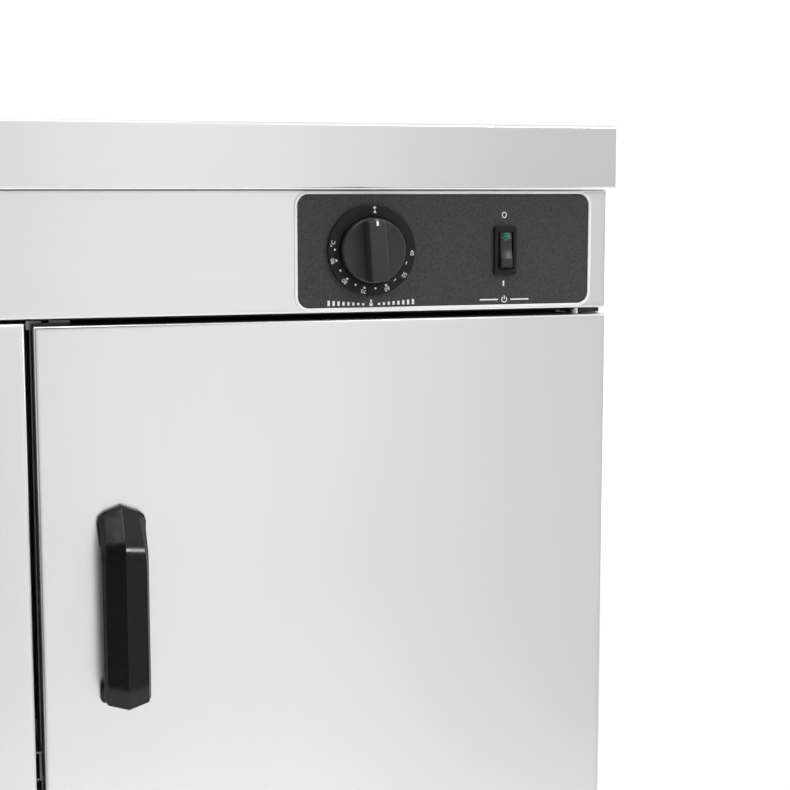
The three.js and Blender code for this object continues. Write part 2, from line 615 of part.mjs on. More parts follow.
const knobGroup = new THREE.Group();
knobGroup.position.set(DIAL_X, PLATE_FRONT - BEZEL_THICK - 0.6, DIAL_Z);
knobGroup.rotation.y = -THREE.MathUtils.degToRad(KNOB_TILT);
cabinet.add(knobGroup);
const KNOB_RIM = 5.6;
const KNOB_HEIGHT = 16;
{
  const disc = facingFront(turned([
    [0, 0],
    [KNOB_RADIUS, 0],
    [KNOB_RADIUS, KNOB_RIM - 0.8],
    [KNOB_RADIUS - 0.8, KNOB_RIM],
    [0, KNOB_RIM],
  ], 48));
  const bar = facingFront(prism([
    [-5.8, -18.7], [-4.2, -19.8], [4.2, -19.8], [5.8, -18.7],
    [5.8, 18.7], [4.2, 19.8], [-4.2, 19.8], [-5.8, 18.7],
  ], KNOB_HEIGHT));
  const bore = rod('y', SHAFT_RADIUS + FIT, -KNOB_HEIGHT + 5, 1, 0, 0, 20);
  part('temperature_knob', cut(join(disc, bar), bore), glossBlack(), knobGroup);
  const shaftEnd = FRONT + THERMOSTAT_DEPTHS[0] - 2 - FIT - knobGroup.position.y;
  const shaft = rod('y', SHAFT_RADIUS, -KNOB_HEIGHT + 5 + FIT, shaftEnd, 0, 0);
  part('thermostat_shaft', shaft, zincPlate(), knobGroup);
}

// The capillary runs from the thermostat's back, down through the ceiling, to a bulb along Y.
{
  const bulbZ = LINER_TOP - 12;
  const bulbFront = FRONT + 90;
  const path = new THREE.CatmullRomCurve3([
    new THREE.Vector3(DIAL_X + 10, FRONT + THERMOSTAT_DEPTHS[1] + FIT, DIAL_Z - 5),
    new THREE.Vector3(DIAL_X + 14, FRONT + THERMOSTAT_DEPTHS[1] + 14, DIAL_Z - 8),
    new THREE.Vector3(DIAL_X + 34, FRONT + 66, DIAL_Z - 16),
    new THREE.Vector3(BULB_X, FRONT + CAPILLARY_BEHIND_FRONT, CEILING + 8),
    new THREE.Vector3(BULB_X, FRONT + CAPILLARY_BEHIND_FRONT, CEILING - 6),
    new THREE.Vector3(BULB_X, FRONT + 72, bulbZ),
    new THREE.Vector3(BULB_X, bulbFront + 5, bulbZ),
  ]);
  const round = new THREE.Shape().absarc(0, 0, CAPILLARY_RADIUS, 0, Math.PI * 2);
  const tube = new THREE.ExtrudeGeometry(round, { steps: 28, extrudePath: path, curveSegments: 3 });
  part('thermostat_bulb', join(tube, rod('y', 3.5, bulbFront, bulbFront + 90, BULB_X, bulbZ, 12)), copper());
}

// ---- switch: frame and body, rocker, and the lamp lens set in the rocker ----
const FRAME_SIZE = [15.2, 32.3];
const FRAME_THICK = 2;
const ROCKER_HALF = 12.2;
const ROCKER_WIDTH = 9.4;
const LENS_WIDTH = 5.2;
const ROCKER_AXIS = -2; // pivot, measured out of the plate's front
const ROCKER_TILT = 9; // degrees each side of level
const END_RISE = 4; // level rocker's ends, out of the plate's front
const MIDDLE_RISE = 2.6;
{
  const flange = new THREE.ExtrudeGeometry(roundedRectangle(...FRAME_SIZE, 1.6), {
    depth: FRAME_THICK,
    bevelEnabled: false,
    curveSegments: 4,
  });
  const housing = slab(
    [-SWITCH_BODY[0] / 2, SWITCH_BODY[0] / 2],
    [-SWITCH_BODY[1] / 2, SWITCH_BODY[1] / 2],
    [-20, 1],
  );
  const cavity = slab([-5, 5], [-13.3, 13.3], [-9, FRAME_THICK + 1]);
  const frame = facingFront(cut(join(flange, housing), cavity));
  part('switch_frame', frame, satinBlack(), cabinet, [SWITCH_X, PLATE_FRONT - TOUCH, SWITCH_Z]);
}

const rockerGroup = new THREE.Group();
rockerGroup.position.set(SWITCH_X, PLATE_FRONT - ROCKER_AXIS, SWITCH_Z);
rockerGroup.rotation.x = -THREE.MathUtils.degToRad(ROCKER_TILT);
cabinet.add(rockerGroup);
{
  // Outlines in (height, outwards) about the pivot.
  const slope = (END_RISE - MIDDLE_RISE) / ROCKER_HALF;
  const surface = (height) => MIDDLE_RISE - ROCKER_AXIS + slope * Math.abs(height);
  const outline = [
    [-ROCKER_HALF, 1], [-6, -3], [6, -3], [ROCKER_HALF, 1],
    [ROCKER_HALF, surface(ROCKER_HALF)], [0, surface(0)], [-ROCKER_HALF, surface(ROCKER_HALF)],
  ];
  const lens = [4.6, 10.4];
  const strip = (low, high, grow) => [
    [lens[0] - grow, surface(lens[0]) + low], [lens[1] + grow, surface(lens[1]) + low],
    [lens[1] + grow, surface(lens[1]) + high], [lens[0] - grow, surface(lens[0]) + high],
  ];
  const upright = (corners) => corners.map(([height, out]) => [out, height]);
  const rocker = acrossX(upright(outline), ROCKER_WIDTH);
  const pocket = acrossX(upright(strip(-1.6, 3, FIT)), LENS_WIDTH + 2 * FIT);
  const jewel = acrossX(upright(strip(-1.3, 0.4, 0)), LENS_WIDTH);
  part('switch_rocker', cut(rocker, pocket), glossBlack(), rockerGroup);
  part('switch_lamp', jewel, greenLens(), rockerGroup);
}

// ---- mains side: terminal block on the ceiling and cable gland in the back panel ----
{
  const y = PANEL_BACK - 60;
  const block = slab([GLAND_X - 75, GLAND_X - 15], [y, y + 22], [CEILING + FIT, CEILING + 20]);
  const grooves = [-60, -45, -30].map((x) =>
    slab([GLAND_X + x - 1, GLAND_X + x + 1], [y - 1, y + 23], [CEILING + 12, CEILING + 22]));
  part('terminal_block', cut(block, ...grooves), whitePlastic());

  const reach = GLAND_REACH + BACK_INSET;
  const threadEnd = -12;
  const flange = { radius: 12, top: 7 };
  const nut = { radius: 10.5, bottom: 8, shoulder: reach - 4 };
  const gland = turned([
    [0, threadEnd],
    [GLAND_THREAD, threadEnd],
    [GLAND_THREAD, FIT],
    [flange.radius, FIT],
    [flange.radius, flange.top],
    [nut.radius, nut.bottom],
    [nut.radius, nut.shoulder],
    [8, reach],
    [5, reach],
    [4, reach - 2],
    [0, reach - 2],
  ], 24).rotateX(-Math.PI / 2);
  part('cable_gland', gland, satinBlack(), cabinet, [GLAND_X, BACK, GLAND_Z]);
}

// ---- legs: a tube under each corner, and a foot that screws down out of it ----
const LEG_X = 320;
const LEG_YS = { front: FRONT + 42, rear: PANEL_BACK - 42 };
const LEG_RADIUS = 19;
const FOOT_HEIGHT = 36;
const STEM_RADIUS = 11;
const FOOT_TRAVEL = 25;
function legTube() {
  const top = BODY_BOTTOM - FIT;
  const bottom = FOOT_HEIGHT + FIT;
  return cut(
    join(
      rod('z', LEG_RADIUS, bottom, top - 1, 0, 0, 24),
      slab([-30, 30], [-30, 30], [top - 3, top]),
    ),
    rod('z', STEM_RADIUS + FIT, bottom - 1, top - 10, 0, 0, 20),
  );
}
function foot() {
  const stemTop = BODY_BOTTOM - FIT - 10 - FIT;
  return turned([
    [0, 0],
    [13, 0],
    [15, 3],
    [LEG_RADIUS, FOOT_HEIGHT - 8],
    [LEG_RADIUS, FOOT_HEIGHT],
    [STEM_RADIUS, FOOT_HEIGHT],
    [STEM_RADIUS, stemTop],
    [0, stemTop],
  ], 20);
}
for (const [row, y] of Object.entries(LEG_YS)) {
  for (const [side, name] of [[-1, 'left'], [1, 'right']]) {
    part(`leg_${row}_${name}`, legTube(), dullSteel(), cabinet, [side * LEG_X, y, 0]);
    part(`foot_${row}_${name}`, foot(), satinBlack(), cabinet, [side * LEG_X, y, 0]);
  }
}

export default cabinet;
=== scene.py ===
"""Two-door heated holding cabinet: the looks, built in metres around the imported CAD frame."""
import json

import bmesh
import bpy
import numpy as np
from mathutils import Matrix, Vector


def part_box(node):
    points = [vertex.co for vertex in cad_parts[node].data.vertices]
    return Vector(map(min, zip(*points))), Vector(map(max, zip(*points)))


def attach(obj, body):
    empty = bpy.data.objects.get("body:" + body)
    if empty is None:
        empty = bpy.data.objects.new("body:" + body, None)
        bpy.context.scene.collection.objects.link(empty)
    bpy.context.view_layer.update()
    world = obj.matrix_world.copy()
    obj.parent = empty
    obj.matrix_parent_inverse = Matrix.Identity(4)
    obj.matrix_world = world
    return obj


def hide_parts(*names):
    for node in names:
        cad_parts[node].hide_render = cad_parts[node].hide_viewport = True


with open("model.json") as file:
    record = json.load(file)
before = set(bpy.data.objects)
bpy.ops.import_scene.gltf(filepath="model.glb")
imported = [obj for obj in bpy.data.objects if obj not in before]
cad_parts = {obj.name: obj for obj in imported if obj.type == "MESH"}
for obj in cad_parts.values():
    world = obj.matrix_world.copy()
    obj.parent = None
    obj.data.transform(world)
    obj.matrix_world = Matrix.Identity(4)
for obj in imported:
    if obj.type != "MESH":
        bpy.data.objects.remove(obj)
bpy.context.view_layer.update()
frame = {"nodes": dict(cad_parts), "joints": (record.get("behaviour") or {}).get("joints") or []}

scene = bpy.context.scene
MM = 0.001

# ---- the camera ----
# A long lens a little left of the middle, at the height of the control panel, looking slightly down
# and to the right at the upper part of the right-hand door.
camera = bpy.data.objects.new("camera", bpy.data.cameras.new("camera"))
camera.data.lens = 74.8
camera.data.sensor_width = 36.0
camera.location = (-0.06804, -1.23726, 0.81491)
camera.rotation_euler = np.radians((82.82, 0.0, -16.52))
scene.collection.objects.link(camera)
scene.camera = camera

# ---- studio light ----
# A white tent whose brightness changes with the compass direction: darker round the camera, where
# the polished black parts mirror it, and brightest a little right of it. Panels add the highlights.
scene.view_settings.view_transform = "Standard"

TENT_LEVELS = {  # degrees to the right of straight ahead of the doors: brightness
    -180: 0.80, -90: 0.62, -60: 0.34, -40: 0.20, -24: 0.14, -9: 0.24, -1: 0.72, 5: 0.98, 11: 1.0,
    17: 0.80, 24: 0.53, 34: 0.44, 50: 0.66, 80: 0.86, 180: 0.80,
}

tent = bpy.data.worlds.new("white_tent")
tent.use_nodes = True
scene.world = tent
tree = tent.node_tree
tree.nodes.clear()


def add_node(tree, kind, values=None, **settings):
    """A node of the tree with the given settings, its sockets set to the given values."""
    node = tree.nodes.new(kind)
    for setting, value in settings.items():
        setattr(node, setting, value)
    for socket, value in (values or {}).items():
        node.inputs[socket].default_value = value
    return node


direction = add_node(tree, "ShaderNodeTexCoord")
parts = add_node(tree, "ShaderNodeSeparateXYZ")
ahead = add_node(tree, "ShaderNodeMath", {1: -1.0}, operation="MULTIPLY")
compass = add_node(tree, "ShaderNodeMath", operation="ARCTAN2")
share = add_node(tree, "ShaderNodeMapRange", {"From Min": -np.pi, "From Max": np.pi})
around = add_node(tree, "ShaderNodeValToRGB")
levels = around.color_ramp.elements
for degrees, level in TENT_LEVELS.items():
    place = (degrees + 180) / 360
    stop = levels[0] if place == 0 else levels[-1] if place == 1 else levels.new(place)
    stop.color = (level, level, level, 1.0)
eye = add_node(tree, "ShaderNodeLightPath")
lit = add_node(tree, "ShaderNodeBackground", {"Strength": 1.20})
seen = add_node(tree, "ShaderNodeBackground", {"Color": (1.0, 1.0, 1.0, 1.0), "Strength": 1.02})
either = add_node(tree, "ShaderNodeMixShader")
sky = add_node(tree, "ShaderNodeOutputWorld")
for source, output, target, socket in (
        (direction, "Generated", parts, "Vector"), (parts, "Y", ahead, 0), (parts, "X", compass, 0),
        (ahead, "Value", compass, 1), (compass, "Value", share, "Value"), (share, "Result", around, "Fac"),
        (around, "Color", lit, "Color"), (eye, "Is Camera Ray", either, "Fac"),
        (lit, "Background", either, 1), (seen, "Background", either, 2), (either, "Shader", sky, "Surface")):
    tree.links.new(source.outputs[output], target.inputs[socket])


def softbox(name, place, aim, width, height, radiance):
    """An oblong light panel at place that points at aim; its watts are radiance x pi x its area."""
    panel = bpy.data.lights.new(name, "AREA")
    panel.shape = "RECTANGLE"
    panel.size = width
    panel.size_y = height
    panel.energy = radiance * np.pi * width * height
    light = bpy.data.objects.new(name, panel)
    light.location = place
    light.rotation_euler = (Vector(aim) - Vector(place)).to_track_quat("-Z", "Y").to_euler()
    scene.collection.objects.link(light)


softbox("side_panel_light_left", (-2.6, -0.9, 1.0), (0.0, 0.0, 0.6), 0.5, 2.0, 1.2)
softbox("side_panel_light_right", (2.6, -0.3, 1.0), (0.0, 0.0, 0.6), 1.0, 2.2, 2.4)
softbox("key_light", (1.5, -2.0, 2.3), (0.2, -0.2, 0.7), 0.45, 0.45, 24.0)
softbox("top_light", (-0.28, -0.73, 3.0), (0.05, -0.25, 0.6), 0.8, 0.8, 11.0)

# ---- the floor ----
# A matt white disc, wide enough for the cabinet's soft shadow, that fades into the white tent.


def new_finish(name, values):
    """A material with the given Principled socket values."""
    finish = bpy.data.materials.new(name)
    finish.use_nodes = True
    for socket, value in values.items():
        finish.node_tree.nodes["Principled BSDF"].inputs[socket].default_value = value
    return finish


def pattern(finish, stretch, detail=2.0, distortion=0.0):
    """Noise on the object's own coordinates, stretched by a factor along each axis."""
    tree = finish.node_tree
    place = add_node(tree, "ShaderNodeTexCoord")
    mapping = add_node(tree, "ShaderNodeMapping", {"Scale": stretch})
    noise = add_node(tree, "ShaderNodeTexNoise", {"Scale": 1.0, "Detail": detail, "Distortion": distortion})
    tree.links.new(place.outputs["Object"], mapping.inputs["Vector"])
    tree.links.new(mapping.outputs["Vector"], noise.inputs["Vector"])
    return noise.outputs["Fac"]


def vary(finish, source, low, high):
    """Lets the pattern drive the roughness between low and high over the middle of its range."""
    tree = finish.node_tree
    span = add_node(tree, "ShaderNodeMapRange",
                    {"From Min": 0.3, "From Max": 0.7, "To Min": low, "To Max": high})
    tree.links.new(source, span.inputs["Value"])
    tree.links.new(span.outputs["Result"], tree.nodes["Principled BSDF"].inputs["Roughness"])


def tint(finish, source, dark, light):
    """Lets the pattern choose a base colour between dark and light."""
    tree = finish.node_tree
    ramp = add_node(tree, "ShaderNodeValToRGB")
    for element, position, colour in zip(ramp.color_ramp.elements, (0.3, 0.7), (dark, light)):
        element.position = position
        element.color = (*colour, 1.0)
    tree.links.new(source, ramp.inputs["Fac"])
    tree.links.new(ramp.outputs["Color"], tree.nodes["Principled BSDF"].inputs["Base Color"])


def emboss(finish, source, strength, height):
    """Adds the pattern to the surface's relief, on top of any relief it has; height is in metres."""
    tree = finish.node_tree
    normal = tree.nodes["Principled BSDF"].inputs["Normal"]
    bump = add_node(tree, "ShaderNodeBump", {"Strength": strength, "Distance": height})
    if normal.is_linked:
        tree.links.new(normal.links[0].from_socket, bump.inputs["Normal"])
    tree.links.new(source, bump.inputs["Height"])
    tree.links.new(bump.outputs["Normal"], normal)


def grid_faces(rows, columns, start=0, rows_close=False):
    """Four-cornered faces of a grid of points numbered row by row, its columns closed in a ring."""
    row = np.arange(rows if rows_close else rows - 1)[:, None]
    column = np.arange(columns)[None, :]
    next_row, next_column = (row + 1) % rows, (column + 1) % columns
    corners = (row * columns + column, row * columns + next_column,
               next_row * columns + next_column, next_row * columns + column)
    shape = (row.size, column.size)
    return start + np.stack([np.broadcast_to(c, shape) for c in corners], -1).reshape(-1, 4)


def shell(rings, rows_close=False, caps=True):
    """A closed skin over rings of points (ring, point, xyz): quads, and a face on each end."""
    count, around = rings.shape[:2]
    faces = [grid_faces(count, around, rows_close=rows_close)]
    if caps and not rows_close:
        faces += [np.arange(around)[None], (count - 1) * around + np.arange(around)[None]]
    return rings.reshape(-1, 3), faces


def together(*skins):
    """Several skins as one set of points and faces."""
    starts = np.cumsum([0] + [len(points) for points, _ in skins])
    points = np.vstack([points for points, _ in skins])
    faces = [group + start for (_, groups), start in zip(skins, starts) for group in groups]
    return points, faces


def new_mesh(name, skin, smooth_below=40.0):
    """A mesh of the skin in metres, doubled points merged, faces outwards, smooth below an angle."""
    points, faces = skin
    mesh = bpy.data.meshes.new(name)
    mesh.from_pydata(points.tolist(), [], [face for group in faces for face in group.tolist()])
    work = bmesh.new()
    work.from_mesh(mesh)
    bmesh.ops.remove_doubles(work, verts=work.verts, dist=2e-6)
    bmesh.ops.recalc_face_normals(work, faces=work.faces)
    work.to_mesh(mesh)
    work.free()
    mesh.shade_smooth()
    mesh.set_sharp_from_angle(angle=np.radians(smooth_below))
    return mesh


def revolved(profile, segments, centre=(0.0, 0.0, 0.0), axis="z", rows_close=False):
    """A profile of (radius, height) in metres turned about an axis: x and y are radius times the
    cosine and sine of the turn. About y, heights run towards -y, out of the cabinet's front."""
    radius, height = np.asarray(profile, float).T[:, :, None]
    turn = np.linspace(0.0, 2 * np.pi, segments, endpoint=False)[None, :]
    along = np.broadcast_to(height, (height.size, segments))
    wide, deep = radius * np.cos(turn), radius * np.sin(turn)
    order = {"z": (wide, deep, along), "y": (wide, -along, deep)}[axis]
    return shell(np.stack(order, -1) + centre, rows_close)


FLOOR_RADIUS = 1.25
FLOOR_TOP, FLOOR_UNDER = -0.6 * MM, -1.1 * MM
floor_profile = [(0.0, FLOOR_UNDER), (FLOOR_RADIUS, FLOOR_UNDER), (FLOOR_RADIUS, FLOOR_TOP), (0.0, FLOOR_TOP)]
floor_mesh = new_mesh("floor", revolved(floor_profile, 96))
floor = bpy.data.objects.new("floor", floor_mesh)
scene.collection.objects.link(floor)
matt_white = new_finish("matt_white", {"Base Color": (0.93, 0.93, 0.93, 1.0), "Roughness": 0.9,
                                       "Specular IOR Level": 0.1, "Emission Color": (1.0, 1.0, 1.0, 1.0),
                                       "Emission Strength": 0.12})
floor_mesh.materials.append(matt_white)


def add_piece(name, skin, finish, stands_for=(), body="cabinet", smooth_below=40.0):
    """Makes a piece from a skin, rides it on its CAD body and says which CAD nodes it stands for."""
    piece = bpy.data.objects.new(name, new_mesh(name, skin, smooth_below))
    scene.collection.objects.link(piece)
    piece.data.materials.append(finish)
    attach(piece, body)
    if stands_for:
        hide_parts(*stands_for)
    return piece


def box_of(node):
    """A CAD node's lowest corner, highest corner and middle, as arrays."""
    low, high = (np.array(corner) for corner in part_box(node))
    return low, high, (low + high) / 2


# ---- the worktop ----
# Stainless sheet, 1.2 mm thick, folded down on all four sides into a 40 mm edge with a narrow
# return, its corners welded and ground round. The faint rolling lines run along the sheet.
SHEET = 1.2 * MM
BEND = 2.0 * MM
FACINGS = {  # the face's two directions and the direction from the face into the tray
    "front": ((1, 0, 0), (0, 0, 1), (0, 1, 0)),
    "top": ((1, 0, 0), (0, 1, 0), (0, 0, -1)),
    "left": ((0, 1, 0), (0, 0, 1), (1, 0, 0)),
    "right": ((0, 1, 0), (0, 0, 1), (-1, 0, 0)),
    "back": ((1, 0, 0), (0, 0, 1), (0, -1, 0)),
}


def stainless(name, grey, roughness, lines, drift=0.015):
    """Bare stainless sheet: metal with a slow drift in its gloss and fine rolling lines, which are
    noise stretched a hundredfold along the sheet."""
    steel = new_finish(name, {"Metallic": 1.0})
    slow = pattern(steel, (5.0, 5.0, 5.0), detail=1.0)
    fine = pattern(steel, lines, detail=3.0)
    tint(steel, slow, (grey * 0.975,) * 3, (grey * 1.01, grey * 1.01, grey * 1.012))
    vary(steel, fine, roughness - drift, roughness + drift)
    emboss(steel, fine, 0.04, 0.00012)
    emboss(steel, slow, 0.05, 0.0035)
    return steel


LENGTHWISE = (12.0, 900.0, 900.0)
UPRIGHT = (900.0, 900.0, 12.0)
steel_lengthwise = stainless("stainless_lengthwise", 0.80, 0.30, LENGTHWISE)
steel_upright = stainless("stainless_upright", 0.80, 0.30, UPRIGHT)


def arc(centre, radius, start, end, steps=6):
    """Points of an arc: centre plus radius times the cosine and sine of angles given in degrees."""
    angle = np.radians(np.linspace(start, end, steps + 1))
    return np.array(centre) + radius * np.column_stack((np.cos(angle), np.sin(angle)))


def thickened(side, thickness):
    """A sheet's closed section: one side, then the other side, which is the first one moved by the
    thickness along its normal and run backwards."""
    along = np.gradient(np.asarray(side, float), axis=0)
    along /= np.linalg.norm(along, axis=1)[:, None]
    other = side + thickness * np.column_stack((-along[:, 1], along[:, 0]))
    return np.vstack((side, other[::-1]))


def carried(profile, half, radius, corner_points=7):
    """A profile of (inset, depth) carried round a rectangle with round corners. A corner's centre
    stands max(radius, inset) in from both sides and its arc's radius is max(radius - inset, 0)."""
    inset, depth = np.asarray(profile, float).T[:, :, None]
    quadrant = np.repeat(np.arange(4), corner_points)
    angle = (quadrant + np.tile(np.linspace(0.0, 1.0, corner_points), 4)) * np.pi / 2
    side_u = np.where((quadrant == 0) | (quadrant == 3), 1, -1)
    side_v = np.where(quadrant < 2, 1, -1)
    away = np.maximum(radius, inset)
    swing = np.maximum(radius - inset, 0.0)
    u = side_u * (half[0] - away) + swing * np.cos(angle)
    v = side_v * (half[1] - away) + swing * np.sin(angle)
    return np.stack((u, v, np.broadcast_to(depth, u.shape)), -1)


def set_down(local, low, high, facing):
    """Turns (u, v, depth) points to face a side of the box from low to high and centres them on it."""
    across, up, inwards = (np.array(axis, float) for axis in FACINGS[facing])
    origin = (low + high) / 2 - inwards * abs((high - low) @ inwards) / 2
    return origin + local @ np.vstack((across, up, inwards))


def half_size(low, high, facing):
    """Half the face's width and height, and the box's whole depth behind it."""
    across, up, inwards = (np.abs(axis) for axis in np.array(FACINGS[facing], float))
    size = high - low
    return (size @ across / 2, size @ up / 2), size @ inwards


def fitted(section, low, high, facing, corner, corner_points=7, rows_close=False):
    """A section carried round one side of the box from low to high, as a closed skin."""
    half, _ = half_size(low, high, facing)
    return shell(set_down(carried(section, half, corner, corner_points), low, high, facing), rows_close)


def folded_tray(low, high, facing, corner, lip, last_bend=BEND):
    """A sheet tray in a box: face, bend, wall, second bend and return lip."""
    _, depth = half_size(low, high, facing)
    flat = 1.5 * MM
    section = np.vstack((
        [(BEND + flat, 0.0)],
        arc((BEND, BEND), BEND, -90, -180),
        [(0.0, BEND + flat), (0.0, depth - BEND - flat)],
        arc((last_bend, depth - last_bend), last_bend, 180, 90),
        [(BEND + flat, depth), (lip, depth)],
    ))
    return fitted(thickened(section, -SHEET), low, high, facing, corner)


WORKTOP_CORNER, WORKTOP_LIP, WORKTOP_LAST_BEND = 2.6 * MM, 22 * MM, 1.3 * MM
low, high, _ = box_of("worktop")
add_piece("worktop_sheet", folded_tray(low, high, "top", WORKTOP_CORNER, WORKTOP_LIP, WORKTOP_LAST_BEND),
          steel_lengthwise, ["worktop"])

# ---- the case ----
# Side panels, control fascia and base rail are trays of the same sheet, spot-welded to the frame;
# the back panel is flat sheet with cooling slots, held on by cross-head screws.
CASE_CORNER = 1.6 * MM
for name, facing, finish, lip in (("side_panel_left", "left", steel_upright, 12 * MM),
                                  ("side_panel_right", "right", steel_upright, 12 * MM),
                                  ("control_fascia", "front", steel_lengthwise, 8 * MM),
                                  ("base_rail", "front", steel_lengthwise, 8 * MM)):
    low, high, _ = box_of(name)
    add_piece(f"{name}_sheet", folded_tray(low, high, facing, CASE_CORNER, lip), finish,
              [name])


def refinish(finish, *nodes):
    """Gives this finish to CAD nodes whose shape is right as it is."""
    for node in nodes:
        for place in frame["nodes"][node].material_slots:
            place.material = finish


refinish(steel_upright, "back_panel")
steel_inside = stainless("stainless_inside", 0.62, 0.38, (700.0, 9.0, 700.0))
refinish(steel_inside, "base_pan")

# ---- screws ----
# Zinc-plated pan-head screws with a cross recess: a domed disc of revolution whose top sinks by a
# millimetre where the cross is.
HEAD_RADIUS = 3.6 * MM
HEAD_HEIGHT = 1.9 * MM
RECESS_DEPTH = 1.1 * MM
RECESS_HALF, RECESS_REACH = 0.16, 0.57  # of the head's radius


def screw_heads(places, outwards):
    """Pan heads at places (n x 3), pointing along outwards (y axis, +1 or -1). A head's height falls
    off as the root of 1 - (r/R)^4, and drops by the recess's depth inside a plus sign."""
    share = np.array([0.0, 0.12, 0.16, 0.3, 0.34, 0.5, 0.54, 0.6, 0.75, 0.9, 0.97, 1.0])[:, None]
    turn = np.linspace(0.0, 2 * np.pi, 48, endpoint=False)[None, :]
    wide, tall = share * np.cos(turn), share * np.sin(turn)
    narrow = np.minimum(np.abs(wide), np.abs(tall)) < RECESS_HALF
    recess = np.where(narrow & (share < RECESS_REACH), RECESS_DEPTH, 0.0)
    rise = HEAD_HEIGHT * np.sqrt(1.0 - 0.98 * share ** 4) - recess
    dome = np.stack((wide * HEAD_RADIUS, outwards * rise, tall * HEAD_RADIUS), -1)
    foot = dome[-1:] * (1.0, 0.0, 1.0)
    rings = np.concatenate((dome, foot))
    return together(*[shell(rings + place) for place in places])


METAL = {"Metallic": 1.0}


def grained(name, base, grain, dark, light, gloss=None, relief=None, detail=4.0, distortion=0.0):
    """A finish led by one noise: base is its specular level or its socket values, grain the noise's
    scale per metre, dark and light its colours, gloss the lowest and highest roughness, and relief
    the bump's strength and height in metres."""
    finish = new_finish(name, base if isinstance(base, dict) else {"Specular IOR Level": base})
    source = pattern(finish, grain if isinstance(grain, tuple) else (grain,) * 3, detail, distortion)
    tint(finish, source, dark, light)
    if gloss:
        vary(finish, source, *gloss)
    if relief:
        emboss(finish, source, *relief)
    return finish


zinc_plate = grained("zinc_plate", METAL, 240.0, (0.50, 0.51, 0.52), (0.66, 0.66, 0.65),
                     (0.28, 0.46), (0.15, 0.00015))

SCREW_EDGE, SCREW_FIRST_UP, SCREW_FIRST_IN = 10 * MM, 25 * MM, 120 * MM
low, high, _ = box_of("back_panel")
side_heights = np.linspace(low[2] + SCREW_FIRST_UP, high[2] - SCREW_FIRST_UP, 5)
top_places = np.linspace(low[0] + SCREW_FIRST_IN, high[0] - SCREW_FIRST_IN, 3)
back_screws = [(x, high[1], z) for x in (low[0] + SCREW_EDGE, high[0] - SCREW_EDGE) for z in side_heights]
back_screws += [(x, high[1], z) for x in top_places for z in (low[2] + SCREW_EDGE, high[2] - SCREW_EDGE)]
add_piece("back_panel_screws", screw_heads(back_screws, 1.0), zinc_plate)

# ---- painted shade in the door gap ----
# A black strip under the fascia's return, above the doors, and a black band on the front flange of
# the chamber's ceiling behind it: both are painted shade, put there so that the gap reads dark.
# Painted shade: this black stands for the dark deep in the gap above the doors.
rubber_black = grained("rubber_black", 0.15, 300.0, (0.003,) * 3, (0.007,) * 3,
                       (0.7, 0.9))
STRIP_THICK = 0.8 * MM

low, high, _ = box_of("control_fascia")
bracket_low, _, _ = box_of("hinge_bracket_top_right")
ceiling_low, ceiling_high, _ = box_of("chamber_ceiling")
strip_low = np.array((-bracket_low[0] + 0.8 * MM, low[1] + BEND + 0.4 * MM, low[2] - STRIP_THICK))
strip_high = np.array((bracket_low[0] - 0.8 * MM, high[1] - 3.0 * MM, low[2] + 0.1 * MM))
shade_band_low = np.array((strip_low[0], ceiling_low[1] - 0.2 * MM, ceiling_low[2] + 0.5 * MM))
shade_band_high = np.array((strip_high[0], ceiling_low[1] + 0.05 * MM, ceiling_high[2] - 1.0 * MM))


def padded_strip(low, high, facing, corner):
    """A flat strip that fills a box, its face's edge rounded by an arc of the given radius."""
    _, depth = half_size(low, high, facing)
    section = np.vstack(([(2 * corner, 0.0)], arc((corner, corner), corner, -90, -180, 3),
                         [(0.0, depth), (2 * corner, depth)]))
    return fitted(section, low, high, facing, corner, 3)


# The strip and the band are painted shade in the gap between fascia and doors.
add_piece("fascia_seal_strip", together(padded_strip(strip_low, strip_high, "front", 0.2 * MM),
                                        padded_strip(shade_band_low, shade_band_high, "front", 0.05 * MM)),
          rubber_black)

# ---- the control plate ----
# An aluminium plate with rounded corners: a rim in white enamel stands as a frame round a field of
# dark grey paint with a fine sandy grain, on which the marks are printed in white.
RIM_WIDTH = 1.8 * MM
RIM_ROUND = 0.35 * MM
FIELD_SINK = 0.45 * MM
PLATE_CORNER = 9 * MM

bright_rim = grained("bright_rim", 0.5, 90.0, (0.93,) * 3, (0.97,) * 3, (0.32, 0.44),
                     detail=3.0)
sandy_grey = grained("sandy_grey", 0.35, 1500.0, (0.020, 0.020, 0.021),
                     (0.066, 0.066, 0.067), (0.50, 0.66), (0.50, 0.00012))

low, high, _ = box_of("control_plate")
_, plate_depth = half_size(low, high, "front")
rim_section = np.vstack((
    [(0.0, plate_depth)],
    arc((RIM_ROUND, RIM_ROUND), RIM_ROUND, 180, 270, 4),
    arc((RIM_WIDTH - RIM_ROUND, RIM_ROUND), RIM_ROUND, -90, 0, 4),
    [(RIM_WIDTH, plate_depth)],
))
field_edge, field_inner = RIM_WIDTH + 0.02 * MM, RIM_WIDTH + 0.4 * MM
field_section = [(field_inner, FIELD_SINK), (field_edge, FIELD_SINK), (field_edge, plate_depth),
                 (field_inner, plate_depth)]
for name, section, finish in (("rim", rim_section, bright_rim), ("field", field_section, sandy_grey)):
    skin = fitted(section, low, high, "front", PLATE_CORNER, 13, rows_close=name == "rim")
    add_piece(f"control_plate_{name}", skin, finish, ["control_plate"])

# ---- the printed marks ----
# White screen print a few hundredths of a millimetre thick: circle and bar at the switch's two
# ends, a thermometer between growing heat bars under the dial, and a standby sign under the switch.
INK = 0.05 * MM
CAPITAL_SHARE = 0.69  # a capital's height as a share of the built-in type's size

white_ink = grained("white_ink", {"Roughness": 0.55}, 900.0, (0.80,) * 3, (0.93,) * 3, detail=3.0)


